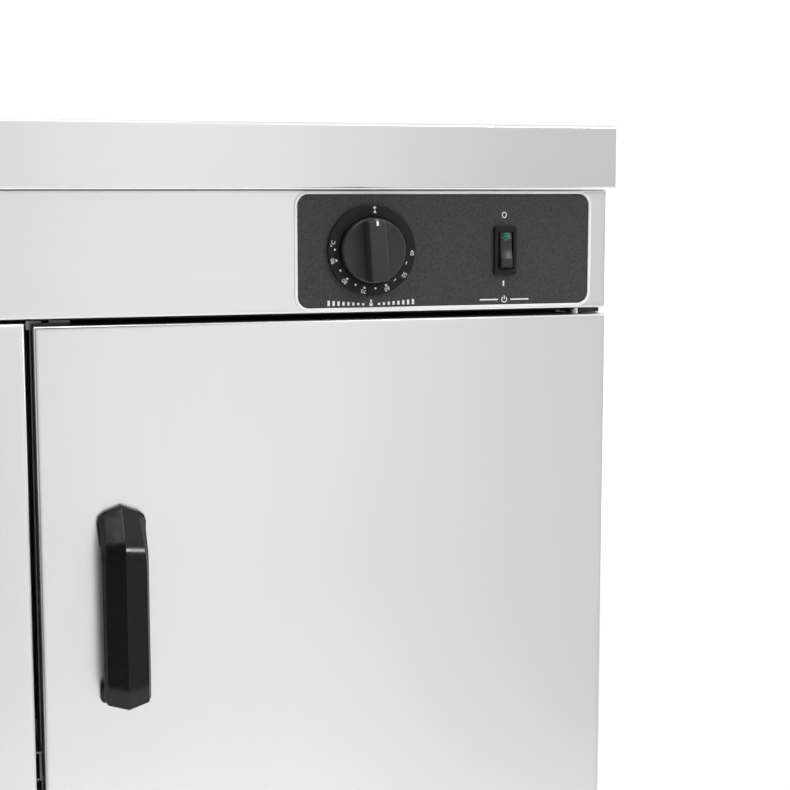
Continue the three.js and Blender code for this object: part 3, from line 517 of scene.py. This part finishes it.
def turned(points, degrees):
    """Points turned in the plane of their first two coordinates."""
    angle = np.radians(degrees)
    spin = np.eye(points.shape[1])
    spin[:2, :2] = (np.cos(angle), np.sin(angle)), (-np.sin(angle), np.cos(angle))
    return points @ spin


def flat_mark(outline, turn=0.0, shift=(0.0, 0.0)):
    """An outline in millimetres turned by degrees, shifted, and made INK thick as (u, v, rise)."""
    placed = (turned(np.asarray(outline, float), turn) + shift) * MM
    rings = np.stack([np.column_stack((placed, np.full(len(placed), rise))) for rise in (-INK, INK)])
    return shell(rings)


def bar(width, height):
    """The four corners of an upright bar about its middle."""
    return np.array(((-1, -1), (1, -1), (1, 1), (-1, 1))) * (width, height) / 2


def disc(radius, points=20):
    """A circle's outline."""
    return arc((0.0, 0.0), radius, 0, 360 - 360 / points, points - 1)


def hoop(radius, width, start, end, squeeze=1.0):
    """An arc of a given width from start to end degrees, its breadth squeezed by a factor."""
    outer = arc((0.0, 0.0), radius, start, end, 28)
    inner = arc((0.0, 0.0), radius - width, end, start, 28)
    return np.vstack((outer, inner)) * (squeeze, 1.0)


def lettered(words, height, turn=0.0, shift=(0.0, 0.0)):
    """Figures in the built-in type, capitals of the given height, turned and shifted like a mark."""
    curve = bpy.data.curves.new(words, "FONT")
    curve.body = words
    curve.size = height * MM / CAPITAL_SHARE
    curve.align_x = "CENTER"
    curve.resolution_u = 3
    curve.extrude = INK
    holder = bpy.data.objects.new(words, curve)
    scene.collection.objects.link(holder)
    mesh = bpy.data.meshes.new_from_object(holder)
    points = np.empty(len(mesh.vertices) * 3)
    mesh.vertices.foreach_get("co", points)
    points = turned(points.reshape(-1, 3) - (0.0, height * MM / 2, 0.0), turn)
    points += np.array((*shift, 0.0)) * MM
    faces = [np.array([polygon.vertices[:]]) for polygon in mesh.polygons]
    bpy.data.objects.remove(holder)
    bpy.data.meshes.remove(mesh)
    return points, faces


def on_front(skin, centre_x, front_y, centre_z):
    """Stands (u, v, rise) points on an upright face at front_y: rise points out along -y."""
    points, faces = skin
    return points[:, (0, 2, 1)] * (1, -1, 1) + (centre_x, front_y, centre_z), faces


_, _, dial_middle = box_of("dial_bezel")
_, _, switch_middle = box_of("switch_frame")
field_front = low[1] + FIELD_SINK
PRINT_UP = 5.1 * MM
HEAT_BARS = 8
SIGN_RADIUS = 2.0
print_z = low[2] + PRINT_UP
marks = [flat_mark(bar(1.0, 2.6), 0, (0.0, 0.3)), flat_mark(disc(1.15), 0, (0.0, -1.4))]
for side in (-1, 1):
    for step in range(1, HEAT_BARS + 1):
        height = 1.1 + 0.28 * step
        marks.append(flat_mark(bar(1.5, height), 0, (side * (2.0 + 3.2 * step), height / 2 - 2.0)))
under_dial = on_front(together(*marks), dial_middle[0], field_front, print_z)
standby = [flat_mark(hoop(SIGN_RADIUS, 0.6, 125, 415)), flat_mark(bar(0.6, 2.2), 0, (0.0, 1.4))]
standby += [flat_mark(bar(12.5, 0.9), 0, (side * 10.5, 0.0)) for side in (-1, 1)]
under_switch = on_front(together(*standby), switch_middle[0], field_front, print_z)
off_ring = [flat_mark(hoop(SIGN_RADIUS, 0.62, start, start + 180, 0.84)) for start in (0, 180)]
off_sign = on_front(together(*off_ring), switch_middle[0] - 0.4 * MM, field_front,
                    switch_middle[2] + 22.6 * MM)
on_sign = on_front(flat_mark(bar(1.1, 3.4)), switch_middle[0] - 0.6 * MM, field_front,
                   switch_middle[2] - 21.2 * MM)
add_piece("control_plate_print", together(under_dial, under_switch, off_sign, on_sign), white_ink)

# ---- the thermostat dial ----
# A black moulded skirt, satin like phenolic resin and slightly dished, with white figures printed
# round it. A small inner edge frames the groove in which the knob turns.
satin_black = grained("satin_black", 0.25, 1300.0, (0.005,) * 3, (0.010,) * 3,
                      (0.36, 0.50), (0.12, 0.00006), detail=3.0)

low, high, middle = box_of("dial_bezel")
knob_low, knob_high, _ = box_of("temperature_knob")
knob_radius = (knob_high[0] - knob_low[0]) / 2
bezel_radius = (high[0] - low[0]) / 2
groove = knob_radius + 1.2 * MM
SKIRT_OUTER = 2.2 * MM
SKIRT_INNER = 1.5 * MM
SHAFT_HOLE = 6.4 * MM
skirt_profile = np.vstack((
    [(SHAFT_HOLE, 0.0), (bezel_radius, 0.0)],
    arc((bezel_radius - 0.4 * MM, SKIRT_OUTER - 0.4 * MM), 0.4 * MM, 0, 90, 4),
    [(groove + 0.7 * MM, SKIRT_INNER)],
    arc((groove + 0.3 * MM, SKIRT_INNER + 0.1 * MM), 0.3 * MM, 90, 180, 4),
    [(groove, 0.5 * MM), (SHAFT_HOLE, 0.5 * MM)],
))
skirt = revolved(skirt_profile, 128, (middle[0], high[1], middle[2]), "y", rows_close=True)
add_piece("dial_skirt", skirt, satin_black, ["dial_bezel"])


def clockwise(degrees, radius):
    """A point on the dial, clockwise from its top."""
    angle = np.radians(degrees)
    return radius * np.sin(angle), radius * np.cos(angle)


# The skirt's dish, from the groove's edge up to the rim, carries a ring of figures and one of dots.
FIGURES_AT = {40: 94.0, 50: 126.5, 60: 158.0, 70: 192.4, 80: 223.0, 90: 255.6}
FIGURE_HEIGHT, FIGURE_RING, DOT_RING = 2.5, 26.3, 24.0  # millimetres
dots = []
for figure, degrees in FIGURES_AT.items():
    dots.append(lettered(str(figure), FIGURE_HEIGHT, -degrees, clockwise(degrees, FIGURE_RING)))
    if figure >= 60:
        dots.append(flat_mark(disc(0.75), 0, clockwise(degrees - 0.6, DOT_RING - 0.1)))
for degrees in (110.0, 141.5):
    dots.append(flat_mark(bar(1.8, 0.55), -degrees, clockwise(degrees, DOT_RING)))
for degrees in (174.6, 206.5, 239.0, 271.5):
    dots.append(flat_mark(disc(0.65), 0, clockwise(degrees, DOT_RING)))
dots.append(lettered("C", FIGURE_HEIGHT, -281.4, clockwise(281.4, 25.6)))
dots.append(flat_mark(hoop(0.55, 0.28, 0, 359), 0, clockwise(276.6, 26.6)))
dots.append(flat_mark(bar(1.5, 1.5), 41, clockwise(3.6, 26.6)))
dots.append(flat_mark(((-1.1, -0.9), (1.1, -0.9), (0.0, 1.3)), -5, clockwise(4.6, 24.2)))
points, faces = together(*dots)
away = np.hypot(points[:, 0], points[:, 1])
share = (bezel_radius - 0.4 * MM - away) / (bezel_radius - 1.1 * MM - groove)
points[:, 2] += SKIRT_OUTER + (SKIRT_INNER - SKIRT_OUTER) * share + 0.01 * MM
add_piece("dial_figures", on_front((points, faces), middle[0], high[1], middle[2]), white_ink)

# ---- the knob ----
# One black moulding: a shallow disc with a rounded rim, and a finger bar across it whose sides
# draft inwards and whose ends follow the rim. A white pointer is set into the bar's upper end.
low, high, middle = box_of("temperature_knob")
knob_depth, rim = (high[1] - low[1]) / MM, knob_radius / MM
RIM_HEIGHT, RIM_ARC = 5.6, 1.2  # millimetres, like every line of the knob
BAR_WIDTH, BAR_REACH = 11.2, 19.3
LEAN = 4.0  # degrees


def leaning(skin):
    """Turns (u, v, rise) points by the knob's lean at rest and stands them on the knob's back."""
    points, faces = skin
    return on_front((turned(points, LEAN) * MM, faces), middle[0], high[1], middle[2])


def bar_ring(width, reach, rise, end_points=9):
    """The finger bar's outline at one height: two straight sides joined by arcs of radius reach."""
    half_angle = np.arcsin(width / 2 / reach)
    top = np.linspace(half_angle, -half_angle, end_points)
    angle = np.concatenate((top, np.pi + top[::-1] * -1.0))
    side = np.stack((reach * np.sin(angle), reach * np.cos(angle)), -1)
    return np.column_stack((side, np.full(len(side), rise)))


disc_profile = np.vstack((
    [(0.0, 0.0), (rim - 0.3, 0.0), (rim, 0.3), (rim, RIM_HEIGHT - 1.3)],
    arc((rim - RIM_ARC, RIM_HEIGHT - RIM_ARC), RIM_ARC, 0, 90, 6),
    [(rim - 2.2, RIM_HEIGHT - 0.25), (8.0, RIM_HEIGHT - 0.45), (0.0, RIM_HEIGHT - 0.45)],
))
bar_levels = [(12.0, 19.7, RIM_HEIGHT - 1.5), (11.8, 19.6, RIM_HEIGHT + 0.6),
              (BAR_WIDTH, BAR_REACH, knob_depth - 1.4)]
bar_levels += [(BAR_WIDTH - 2.0 * (1 - np.cos(a)), BAR_REACH - 1.0 * (1 - np.cos(a)),
                knob_depth - 1.0 * (1 - np.sin(a))) for a in np.linspace(0.0, np.pi / 2, 5)]
bar_rings = np.stack([bar_ring(*level) for level in bar_levels])
knob_skin = leaning(together(revolved(disc_profile, 128), shell(bar_rings)))
knob_black = grained("knob_black", 0.5, 900.0, (0.014,) * 3, (0.026,) * 3, (0.40, 0.56), (0.12, 0.00006),
                     detail=3.0)
add_piece("temperature_knob_moulding", knob_skin, knob_black, ["temperature_knob"],
          body="knob")

pointer_top = np.column_stack((bar(1.5, 3.0), np.zeros(4))) + (0.0, 17.2, knob_depth)
pointer_rings = np.stack([pointer_top + (0, 0, rise) for rise in (-0.3, 0.06)])
pointer_end = np.array(((-0.75, 0), (0.75, 0), (0.75, -2.6), (-0.75, -2.6)))
end_rings = np.stack([
    np.column_stack((pointer_end[:, 0], np.full(4, reach), pointer_end[:, 1] + knob_depth - 0.9))
    for reach in (18.2, 19.42)])
pointer = leaning(together(shell(pointer_rings), shell(end_rings)))
add_piece("knob_pointer", pointer, white_ink, body="knob")
refinish(zinc_plate, "thermostat_shaft", "thermostat_body")

# ---- the rocker switch ----
# A snap-in switch of glossy black nylon: a frame with rounded corners, a rocker whose ends are
# bevelled, and a green jewel lens at its upper end. The upper end is pressed in at rest.
gloss_black = grained("gloss_black", 0.5, 700.0, (0.012,) * 3, (0.022,) * 3, (0.30, 0.42), (0.08, 0.00005),
                      detail=2.0)

low, high, middle = box_of("switch_frame")
rocker_low, rocker_high, _ = box_of("switch_rocker")
frame_low = low + (0.0, 0.0, 0.4 * MM)
frame_high = np.array((high[0], field_front + 0.2 * MM, high[2] - 0.6 * MM))
frame_half, frame_depth = half_size(frame_low, frame_high, "front")
hole = frame_half[0] - (rocker_high[0] - rocker_low[0]) / 2 - 0.35 * MM
frame_section = np.vstack((
    [(0.0, frame_depth)],
    [(0.0, 0.8 * MM)],
    arc((0.6 * MM, 0.6 * MM), 0.6 * MM, 180, 270, 4),
    arc((hole - 0.4 * MM, 0.4 * MM), 0.4 * MM, -90, 0, 4),
    [(hole, 6 * MM), (hole - 0.5 * MM, 6 * MM), (hole - 0.5 * MM, frame_depth)],
))
bezel = fitted(frame_section, frame_low, frame_high, "front", 1.8 * MM, rows_close=True)
end_fill = []
for edge_z, inwards in ((frame_low[2], 1.0), (frame_high[2], -1.0)):
    block = sorted((edge_z + inwards * (hole - 0.8 * MM), edge_z + inwards * (hole + 1.2 * MM)))
    block_low = np.array((middle[0] - frame_half[0] + hole - 0.8 * MM, low[1] + 0.05 * MM, block[0]))
    block_high = np.array((middle[0] + frame_half[0] - hole + 0.8 * MM, low[1] + 6.0 * MM, block[1]))
    end_fill.append(padded_strip(block_low, block_high, "front", 0.3 * MM))
HOUSING_HALF_WIDTH, HOUSING_HALF_HEIGHT, HOUSING_DEPTH = 6.5 * MM, 14 * MM, 18 * MM
housing_section = [(1.2 * MM, 0.0), (0.0, 0.0), (0.0, HOUSING_DEPTH), (1.2 * MM, HOUSING_DEPTH)]
housing_front = low[1] + 4 * MM
housing_low = np.array((middle[0] - HOUSING_HALF_WIDTH, housing_front, middle[2] - HOUSING_HALF_HEIGHT))
housing_high = np.array((middle[0] + HOUSING_HALF_WIDTH, housing_front + HOUSING_DEPTH,
                         middle[2] + HOUSING_HALF_HEIGHT))
housing = fitted(housing_section, housing_low, housing_high, "front", 0.6 * MM, 4)
add_piece("switch_frame_moulding", together(bezel, *end_fill, housing), satin_black,
          ["switch_frame"])

ROCKER_HALF, BEVEL_FROM = 11.6, 6.2  # millimetres, like every line of the rocker and its lens
PRESSED = np.radians(9.0)
pivot = {joint["name"]: joint.get("pos_m") for joint in frame["joints"]}["rocker_tilt"]


def rocker_rise(height):
    """How far the rocker's face stands out of its pivot: a shallow hollow in the middle, a crest
    where the end bevels start, and a fall of 0.7 mm towards both ends."""
    share = np.clip(np.abs(height) / BEVEL_FROM, 0.0, 1.0)
    fall = np.clip((np.abs(height) - BEVEL_FROM) / (ROCKER_HALF - BEVEL_FROM), 0.0, 1.0)
    return 4.6 + 1.0 * share ** 1.6 - 0.7 * fall


def tilted(local):
    """Turns (x, outwards, height) points by the rocker's tilt and sets them on its pivot."""
    x, out, height = np.moveaxis(local * MM, -1, 0)
    lean_out = out * np.cos(PRESSED) - height * np.sin(PRESSED)
    lean_up = out * np.sin(PRESSED) + height * np.cos(PRESSED)
    return np.stack((x + pivot[0], pivot[1] - lean_out, lean_up + pivot[2]), -1)


rocker_half_width = (rocker_high[0] - rocker_low[0]) / 2 / MM
heights = np.concatenate((
    [-ROCKER_HALF, -ROCKER_HALF + 0.4], np.linspace(-10.8, -6.6, 4), [-6.3, -6.1], np.linspace(-5.6, 5.6, 9),
    [6.1, 6.3], np.linspace(6.6, 10.8, 4), [ROCKER_HALF - 0.4, ROCKER_HALF]))
face_rise = rocker_rise(heights)
face_rise[[0, -1]] -= 0.6
sides = np.array((0.94, 0.82, 0.80, 0.74, -0.74, -0.80, -0.82, -0.94))
sink = np.array((0.0, 0.5, 0.12, 0.0, 0.0, 0.12, 0.5, 0.0))
rocker_out = face_rise[:, None] - sink[None, :]
rocker_out[:, [0, -1]] = 0.6
rocker_rings = np.stack(np.broadcast_arrays(sides * rocker_half_width, rocker_out, heights[:, None]), -1)
add_piece("switch_rocker_moulding", shell(tilted(rocker_rings)), gloss_black,
          ["switch_rocker"], "rocker", smooth_below=30.0)

# The jewel lens is cut like a stone: a ring of eight facets round a small flat top.
lamp_green = new_finish("lamp_green", {"Roughness": 0.08, "IOR": 1.5, "Transmission Weight": 0.25,
                                       "Coat Weight": 0.6, "Coat Roughness": 0.05})
lens_cloud = pattern(lamp_green, (420.0, 420.0, 420.0), detail=1.0)
tint(lamp_green, lens_cloud, (0.003, 0.055, 0.035), (0.04, 0.34, 0.23))
lens_middle = 8.1
facet = np.linspace(0.0, 2 * np.pi, 8, endpoint=False) + np.pi / 8
lens_rings = np.stack([
    np.column_stack((reach * np.cos(facet), np.full(8, rocker_rise(lens_middle) + out),
                     lens_middle + 1.05 * reach * np.sin(facet)))
    for reach, out in ((2.5, -0.9), (2.6, 0.05), (2.2, 0.55), (1.1, 0.95))])
add_piece("switch_lamp_jewel", shell(tilted(lens_rings)), lamp_green,
          ["switch_lamp"], "rocker", smooth_below=5.0)

# ---- the doors ----
# Each is a tray of stainless sheet closed from behind by a pressed liner, whose field stands
# proud of the returns so that it enters the chamber's mouth when the door is shut.
DOOR_CORNER, DOOR_LIP = 0.9 * MM, 14 * MM
LINER_EDGE, LINER_CORNER = 10.6 * MM, 14 * MM
LINER_CREST, LINER_FOOT = 2.5 * MM, 1.6 * MM

steel_door = stainless("stainless_door", 0.80, 0.31, UPRIGHT)
for name in ("left", "right"):
    low, high, _ = box_of(f"door_skin_{name}")
    add_piece(f"door_skin_{name}_sheet", folded_tray(low, high, "front", DOOR_CORNER, DOOR_LIP), steel_door,
              [f"door_skin_{name}"], f"door_{name}")

    low, high, _ = box_of(f"door_liner_{name}")
    wall = half_size(low, high, "back")[1] - SHEET
    press = np.vstack((
        [(LINER_EDGE + 9 * MM, 0.0), (LINER_EDGE + 5 * MM, 0.0)],
        arc((LINER_EDGE + 4 * MM, LINER_CREST), LINER_CREST, -90, -160),
        arc((LINER_EDGE - LINER_FOOT, wall - LINER_FOOT), LINER_FOOT, 20, 90),
        [(LINER_EDGE - 4 * MM, wall), (0.4 * MM, wall)],
    ))
    pressing = fitted(thickened(press, -SHEET), low, high, "back", LINER_CORNER, 9)
    add_piece(f"door_liner_{name}_pressing", pressing, steel_inside,
              [f"door_liner_{name}"], f"door_{name}")

# ---- the handles ----
# Bow handles moulded in glossy black plastic. The front is a flat gable with a ridge along its
# middle; the upper end slopes down to the door as a hood, the lower end is cut off blunt, and both
# ends stand on a slightly wider foot pad.
handle_black = grained("handle_black", 0.38, 260.0, (0.0010,) * 3, (0.0022,) * 3,
                       (0.13, 0.20), (0.05, 0.00006), detail=3.0)

GRIP_HALF, GRIP_BACK, PAD_THICK = 13.7, 9.5, 4.0  # millimetres, like every line of the handle
SOFT_EDGE = 0.7 * MM
SHARP_FROM = 18.0  # degrees between two faces


def rounded_line(corners, rounds, steps=8):
    """A line through corners whose inner ones are rounded: each bend starts and ends a tangent's length
    from its corner, and an angle a between the two sides gives a tangent of round x tan(a / 2)."""
    corners = np.asarray(corners, float)
    pieces = [corners[:1]]
    for before, corner, after, radius in zip(corners, corners[1:], corners[2:], rounds):
        into, out = (corner - before), (after - corner)
        into, out = into / np.linalg.norm(into), out / np.linalg.norm(out)
        tangent = radius * np.tan(np.arccos(np.clip(into @ out, -1.0, 1.0)) / 2)
        share = np.linspace(0.0, 1.0, steps + 1)[:, None]
        start, end = corner - tangent * into, corner + tangent * out
        pieces.append((1 - share) ** 2 * start + 2 * share * (1 - share) * corner + share ** 2 * end)
    return np.vstack((*pieces, corners[-1:]))


def bow(top, slope_end, rise, bottom, bottom_rise, hood_bend):
    """A line down the bow in (reach, height): hood, grip and the blunt end, whose bend is 60 mm."""
    corners = ((2.5, top), (rise, slope_end), (rise, bottom + 11), (bottom_rise, bottom))
    return rounded_line(corners, (hood_bend, 60))


for name in ("left", "right"):
    low, high, middle = box_of(f"door_handle_{name}")
    pad_half, reach, half = (high - low) / MM * (0.5, 1.0, 0.5)
    ridge = bow(half, half - 25, reach, -half, reach - 2.4, 22)
    crest = bow(half - 5.5, half - 26.5, reach - 2.3, -half + 3.4, reach - 4.6, 22)
    flank = bow(half - 7, half - 29, reach - 6.2, -half + 6, reach - 7.2, 16)
    back = rounded_line(((0.5, half - 25), (reach - GRIP_BACK, half - 33), (reach - GRIP_BACK, -half + 21),
                         (0.5, -half + 15)), (5, 5))
    crest_share = np.interp(np.arange(len(crest)), (0, 1, 9, 20), (0.78, 0.82, 0.91, 0.91))
    lines = ((back, 0.94), (flank, 1.03), (crest, crest_share), (ridge, 0.0),
             (crest, -crest_share), (flank, -1.03), (back, -0.94))
    bow_rings = np.stack([np.column_stack((np.full(len(line), GRIP_HALF * share), -line[:, 0], line[:, 1]))
                          for line, share in lines], 1)
    upper_pad = [(0.0, half), (10.5, half - 4), (14.0, half - 7), (pad_half, half - 10.5),
                 (pad_half - 0.2, half - 16), (14.2, half - 21), (GRIP_HALF, half - 25.5)]
    lower_pad = [(GRIP_HALF, -half + 13.5), (pad_half - 0.3, -half + 13), (pad_half, -half + 12),
                 (pad_half, -half + 2), (pad_half - 1.5, -half)]
    skins = [shell(bow_rings)]
    for outline in (upper_pad, lower_pad):
        outline = np.array(outline)
        whole = np.vstack((outline, (outline * (-1.0, 1.0))[::-1]))
        centre = whole.mean(axis=0)
        skins.append(shell(np.stack([
            np.column_stack((centre[0] + (whole[:, 0] - centre[0]) * size, np.full(len(whole), -rise),
                             centre[1] + (whole[:, 1] - centre[1]) * size))
            for size, rise in ((1.0, 0.0), (1.0, PAD_THICK - 0.8), (0.985, PAD_THICK - 0.25),
                               (0.95, PAD_THICK))])))
    points, faces = together(*skins)
    skin = points * MM + (middle[0], high[1], middle[2]), faces
    handle = add_piece(f"door_handle_{name}_bow", skin, handle_black,
                       [f"door_handle_{name}"], f"door_{name}", SHARP_FROM)
    bevel = handle.modifiers.new("moulded_edges", "BEVEL")
    bevel.width = SOFT_EDGE
    bevel.segments = 3
    bevel.limit_method = "ANGLE"
    bevel.angle_limit = np.radians(SHARP_FROM)

# ---- hinges, catches and the stop plate ----
# Blackened steel brackets hold a zinc-plated pin above and below each door; two ferrite magnets
# under the ceiling pull the doors shut, and a slotted plate stands in the gap between their tops.
black_steel = grained("black_steel", METAL, 260.0, (0.035, 0.035, 0.036), (0.075, 0.074, 0.072),
                      (0.35, 0.5))
for end in ("top", "bottom"):
    for side in ("left", "right"):
        refinish(black_steel, f"hinge_bracket_{end}_{side}")
        refinish(zinc_plate, f"hinge_pin_{end}_{side}")
refinish(zinc_plate, "stop_plate")
ferrite = grained("ferrite", 0.4, 1100.0, (0.020, 0.019, 0.018),
                  (0.055, 0.052, 0.050), (0.55, 0.8), (0.3, 0.0001), detail=5.0)
refinish(ferrite, "catch_magnet_left", "catch_magnet_right")

# ---- the chamber ----
# Ceiling, liners and slotted floor of plain stainless sheet, with pressed racks, a post at the
# front and folded channels on which the shelves slide; glass wool fills the walls behind them.
refinish(steel_inside, "chamber_ceiling", "liner_left", "liner_right", "liner_back", "chamber_floor",
         "centre_post", "centre_channels_upper", "centre_channels_lower", "shelf_rack_left",
         "shelf_rack_right")
glass_wool = grained("glass_wool", 0.1, (90.0, 90.0, 700.0), (0.50, 0.42, 0.16),
                     (0.86, 0.78, 0.42), (0.8, 0.95), (0.8, 0.002), detail=6.0, distortion=1.5)
refinish(glass_wool, "insulation_blanket")

# ---- the wire shelves ----
# Bright nickel-plated rod: a frame bent to round corners and welded shut, one rod across its
# middle and thirteen thinner wires welded along the top.
FRAME_ROD = 3 * MM
CROSS_WIRE = 1.6 * MM
WIRES = 13
FRAME_BEND = 12 * MM

bright_wire = grained("bright_wire", METAL, 130.0, (0.70, 0.70, 0.69), (0.80, 0.80, 0.79),
                      (0.16, 0.28), detail=3.0)


def rod_section(sides=12):
    """A circle of unit radius as (across, up) points."""
    return arc((0.0, 0.0), 1.0, 0, 360 - 360 / sides, sides - 1)


def straight_rod(start, end, radius, sides=10):
    """A rod between two points of a level plane, its ends rounded by rings at 0.55 and 0.9 radius."""
    start, end = np.array(start), np.array(end)
    along = (end - start) / np.linalg.norm(end - start)
    across = np.array((along[1], -along[0], 0.0))
    shares = np.array((0.55, 0.9, 1.0, 1.0, 0.9, 0.55))
    offsets = np.array((0.0, 0.2, 0.6)) * radius
    stations = np.vstack([start + along * o for o in offsets] + [end - along * o for o in offsets[::-1]])
    circle = rod_section(sides)
    ring = circle[:, :1] * across + circle[:, 1:] * (0.0, 0.0, 1.0)
    return shell(stations[:, None, :] + radius * shares[:, None, None] * ring[None])


def bent_frame(half, centre, radius, bend):
    """A closed rod round a level rectangle: a circle of offsets carried round its round corners."""
    circle = rod_section(12) * radius
    profile = np.column_stack((radius - circle[:, 0], circle[:, 1]))
    return shell(carried(profile, half, bend, 9) + centre, rows_close=True)


for level in ("upper", "lower"):
    for side in ("left", "right"):
        low, high, middle = box_of(f"shelf_{level}_{side}")
        half_x, half_y = (high[0] - low[0]) / 2, (high[1] - low[1]) / 2
        rod_z = low[2] + FRAME_ROD
        wire_z = high[2] - CROSS_WIRE
        rods = [bent_frame((half_x, half_y), (middle[0], middle[1], rod_z), FRAME_ROD, FRAME_BEND),
                straight_rod((low[0] + FRAME_ROD, middle[1], rod_z), (high[0] - FRAME_ROD, middle[1], rod_z),
                             0.8 * FRAME_ROD)]
        pitch = 2 * (half_x - FRAME_ROD) / (WIRES + 1)
        for wire in range(WIRES):
            x = middle[0] + (wire - (WIRES - 1) / 2) * pitch
            rods.append(straight_rod((x, low[1] + 1 * MM, wire_z), (x, high[1] - 1 * MM, wire_z), CROSS_WIRE))
        add_piece(f"shelf_{level}_{side}_wires", together(*rods), bright_wire,
                  [f"shelf_{level}_{side}"])

# ---- heating, sensing and wiring parts ----
# A sheathed element snakes below the slotted floor on a folded bracket; the thermostat's copper
# bulb hangs from the ceiling; the mains wires meet in a white terminal block beside the gland.
heater_sheath = grained("heater_sheath", METAL, 160.0, (0.16, 0.14, 0.13), (0.34, 0.31, 0.29),
                        (0.45, 0.7), detail=5.0)
refinish(heater_sheath, "heating_element")
refinish(zinc_plate, "element_bracket")
copper = grained("copper", METAL, 200.0, (0.48, 0.22, 0.14), (0.82, 0.44, 0.31), (0.25, 0.5))
refinish(copper, "thermostat_bulb")
block_white = grained("block_white", {"Roughness": 0.45}, 500.0, (0.78, 0.77, 0.74), (0.84, 0.83, 0.80),
                      detail=2.0)
refinish(block_white, "terminal_block")

# ---- the cable gland ----
# A nylon gland in the back panel: a flanged six-sided body and a ribbed dome nut round the hole
# where the mains cord would enter.
GLAND_THREAD = 8 * MM
NUT_RIBS, RIB_DEPTH = 18, 0.55 * MM
low, high, middle = box_of("cable_gland")
panel_back = box_of("back_panel")[1][1]
gland_out = (high[1] - panel_back) / MM


def gland_ring(radius, out, sides, depth, points=96):
    """A ring whose radius sinks by depth in the manner of a cosine, sides times round."""
    turn = np.linspace(0.0, 2 * np.pi, points, endpoint=False)
    wave = radius - depth * (0.5 - 0.5 * np.cos(sides * turn))
    return np.column_stack((wave * np.cos(turn), np.full(points, out), wave * np.sin(turn)))


def hex_ring(radius, out, points=96):
    """A six-sided outline of the given corner radius: the distance to its flats is cos(30) as far."""
    turn = np.linspace(0.0, 2 * np.pi, points, endpoint=False)
    to_flat = np.cos(np.pi / 6) / np.cos((turn % (np.pi / 3)) - np.pi / 6)
    wide = radius * to_flat
    return np.column_stack((wide * np.cos(turn), np.full(points, out), wide * np.sin(turn)))


gland_rings = [gland_ring(GLAND_THREAD * 0.96, -12 * MM, 1, 0.0),
               gland_ring(GLAND_THREAD, -11.4 * MM, 1, 0.0), gland_ring(GLAND_THREAD, 0.0, 1, 0.0)]
gland_rings += [hex_ring(radius * MM, out * MM)
                for radius, out in ((11.6, 0.0), (12.0, 0.5), (12.0, 6.2), (11.6, 6.8))]
gland_rings += [gland_ring(radius * MM, out * MM, NUT_RIBS, RIB_DEPTH * share) for radius, out, share in (
    (10.2, 6.9, 0.0), (10.5, 7.6, 1.0), (10.5, gland_out - 4.6, 1.0), (10.1, gland_out - 3.6, 0.6),
    (9.0, gland_out - 1.2, 0.1), (8.0, gland_out - 0.2, 0.0), (7.2, gland_out, 0.0), (5.0, gland_out, 0.0),
    (4.6, gland_out - 0.6, 0.0), (4.2, gland_out - 9, 0.0))]
gland = shell(np.stack(gland_rings) + (middle[0], panel_back, middle[2]))
foot_black = grained("foot_black", 0.4, 800.0, (0.016,) * 3, (0.034,) * 3,
                     (0.42, 0.6), (0.2, 0.0001))
add_piece("cable_gland_nut", gland, foot_black, ["cable_gland"])

# ---- legs and feet ----
# A stainless tube welded to a square plate stands under each corner; a black moulded foot on a
# threaded stem screws 25 mm down out of it to level the cabinet.
STEM_RADIUS, THREAD_PITCH, THREAD_DEPTH = 11.0, 3.0, 0.9  # millimetres, like the profiles below
BORE, WELD_RADIUS, FOOT_RADIUS = STEM_RADIUS + 0.5, 2.5, 12.6
for row in ("front", "rear"):
    for side in ("left", "right"):
        low, high, middle = box_of(f"leg_{row}_{side}")
        foot_low, foot_high, _ = box_of(f"foot_{row}_{side}")
        tube = (foot_high[0] - foot_low[0]) / 2 / MM
        bottom, top, stem_top = low[2] / MM, high[2] / MM, foot_high[2] / MM
        tube_profile = np.vstack((
            [(BORE, top - 4), (BORE, bottom + 0.5)],
            arc((tube - 0.6, bottom + 0.6), 0.6, -90, 0, 4),
            [(tube, top - 6)],
            arc((tube + WELD_RADIUS, top - 5.5), WELD_RADIUS, 180, 90, 4),
            [(BORE, top - 3)],
        ))
        tube_skin = revolved(tube_profile * MM, 64, (middle[0], middle[1], 0.0), rows_close=True)
        plate_section = np.array([(1.5, 0), (0.3, 0), (0, 0.3), (0, 2.7), (0.3, 3), (1.5, 3)]) * MM
        plate = fitted(plate_section, np.array((low[0], low[1], high[2] - 3 * MM)), high, "top", 6 * MM)
        add_piece(f"leg_{row}_{side}_tube", together(tube_skin, plate), steel_inside,
                  [f"leg_{row}_{side}"])

        foot_top = bottom - 0.3
        stem = np.linspace(foot_top + 1, stem_top - 1, 70)
        thread = STEM_RADIUS - THREAD_DEPTH * np.abs(2 * ((stem / THREAD_PITCH) % 1.0) - 1.0)
        foot_profile = np.vstack((
            [(0.0, 0.0), (FOOT_RADIUS, 0.0)],
            arc((FOOT_RADIUS, 1.4), 1.4, -90, 0, 4),
            [(tube - 1.2, foot_top - 12)],
            arc((tube - 2.0, foot_top - 10), 2.0, -15, 0, 2),
            [(tube, foot_top - 1)],
            arc((tube - 0.8, foot_top - 0.8), 0.8, 0, 90, 4),
            [(STEM_RADIUS - 1, foot_top)],
            np.column_stack((thread, stem)),
            [(STEM_RADIUS - 2, stem_top), (0.0, stem_top)],
        ))
        foot_skin = revolved(foot_profile * MM, 48, (middle[0], middle[1], 0.0))
        add_piece(f"foot_{row}_{side}_moulding", foot_skin, foot_black,
                  [f"foot_{row}_{side}"], f"levelling_foot_{row}_{side}")
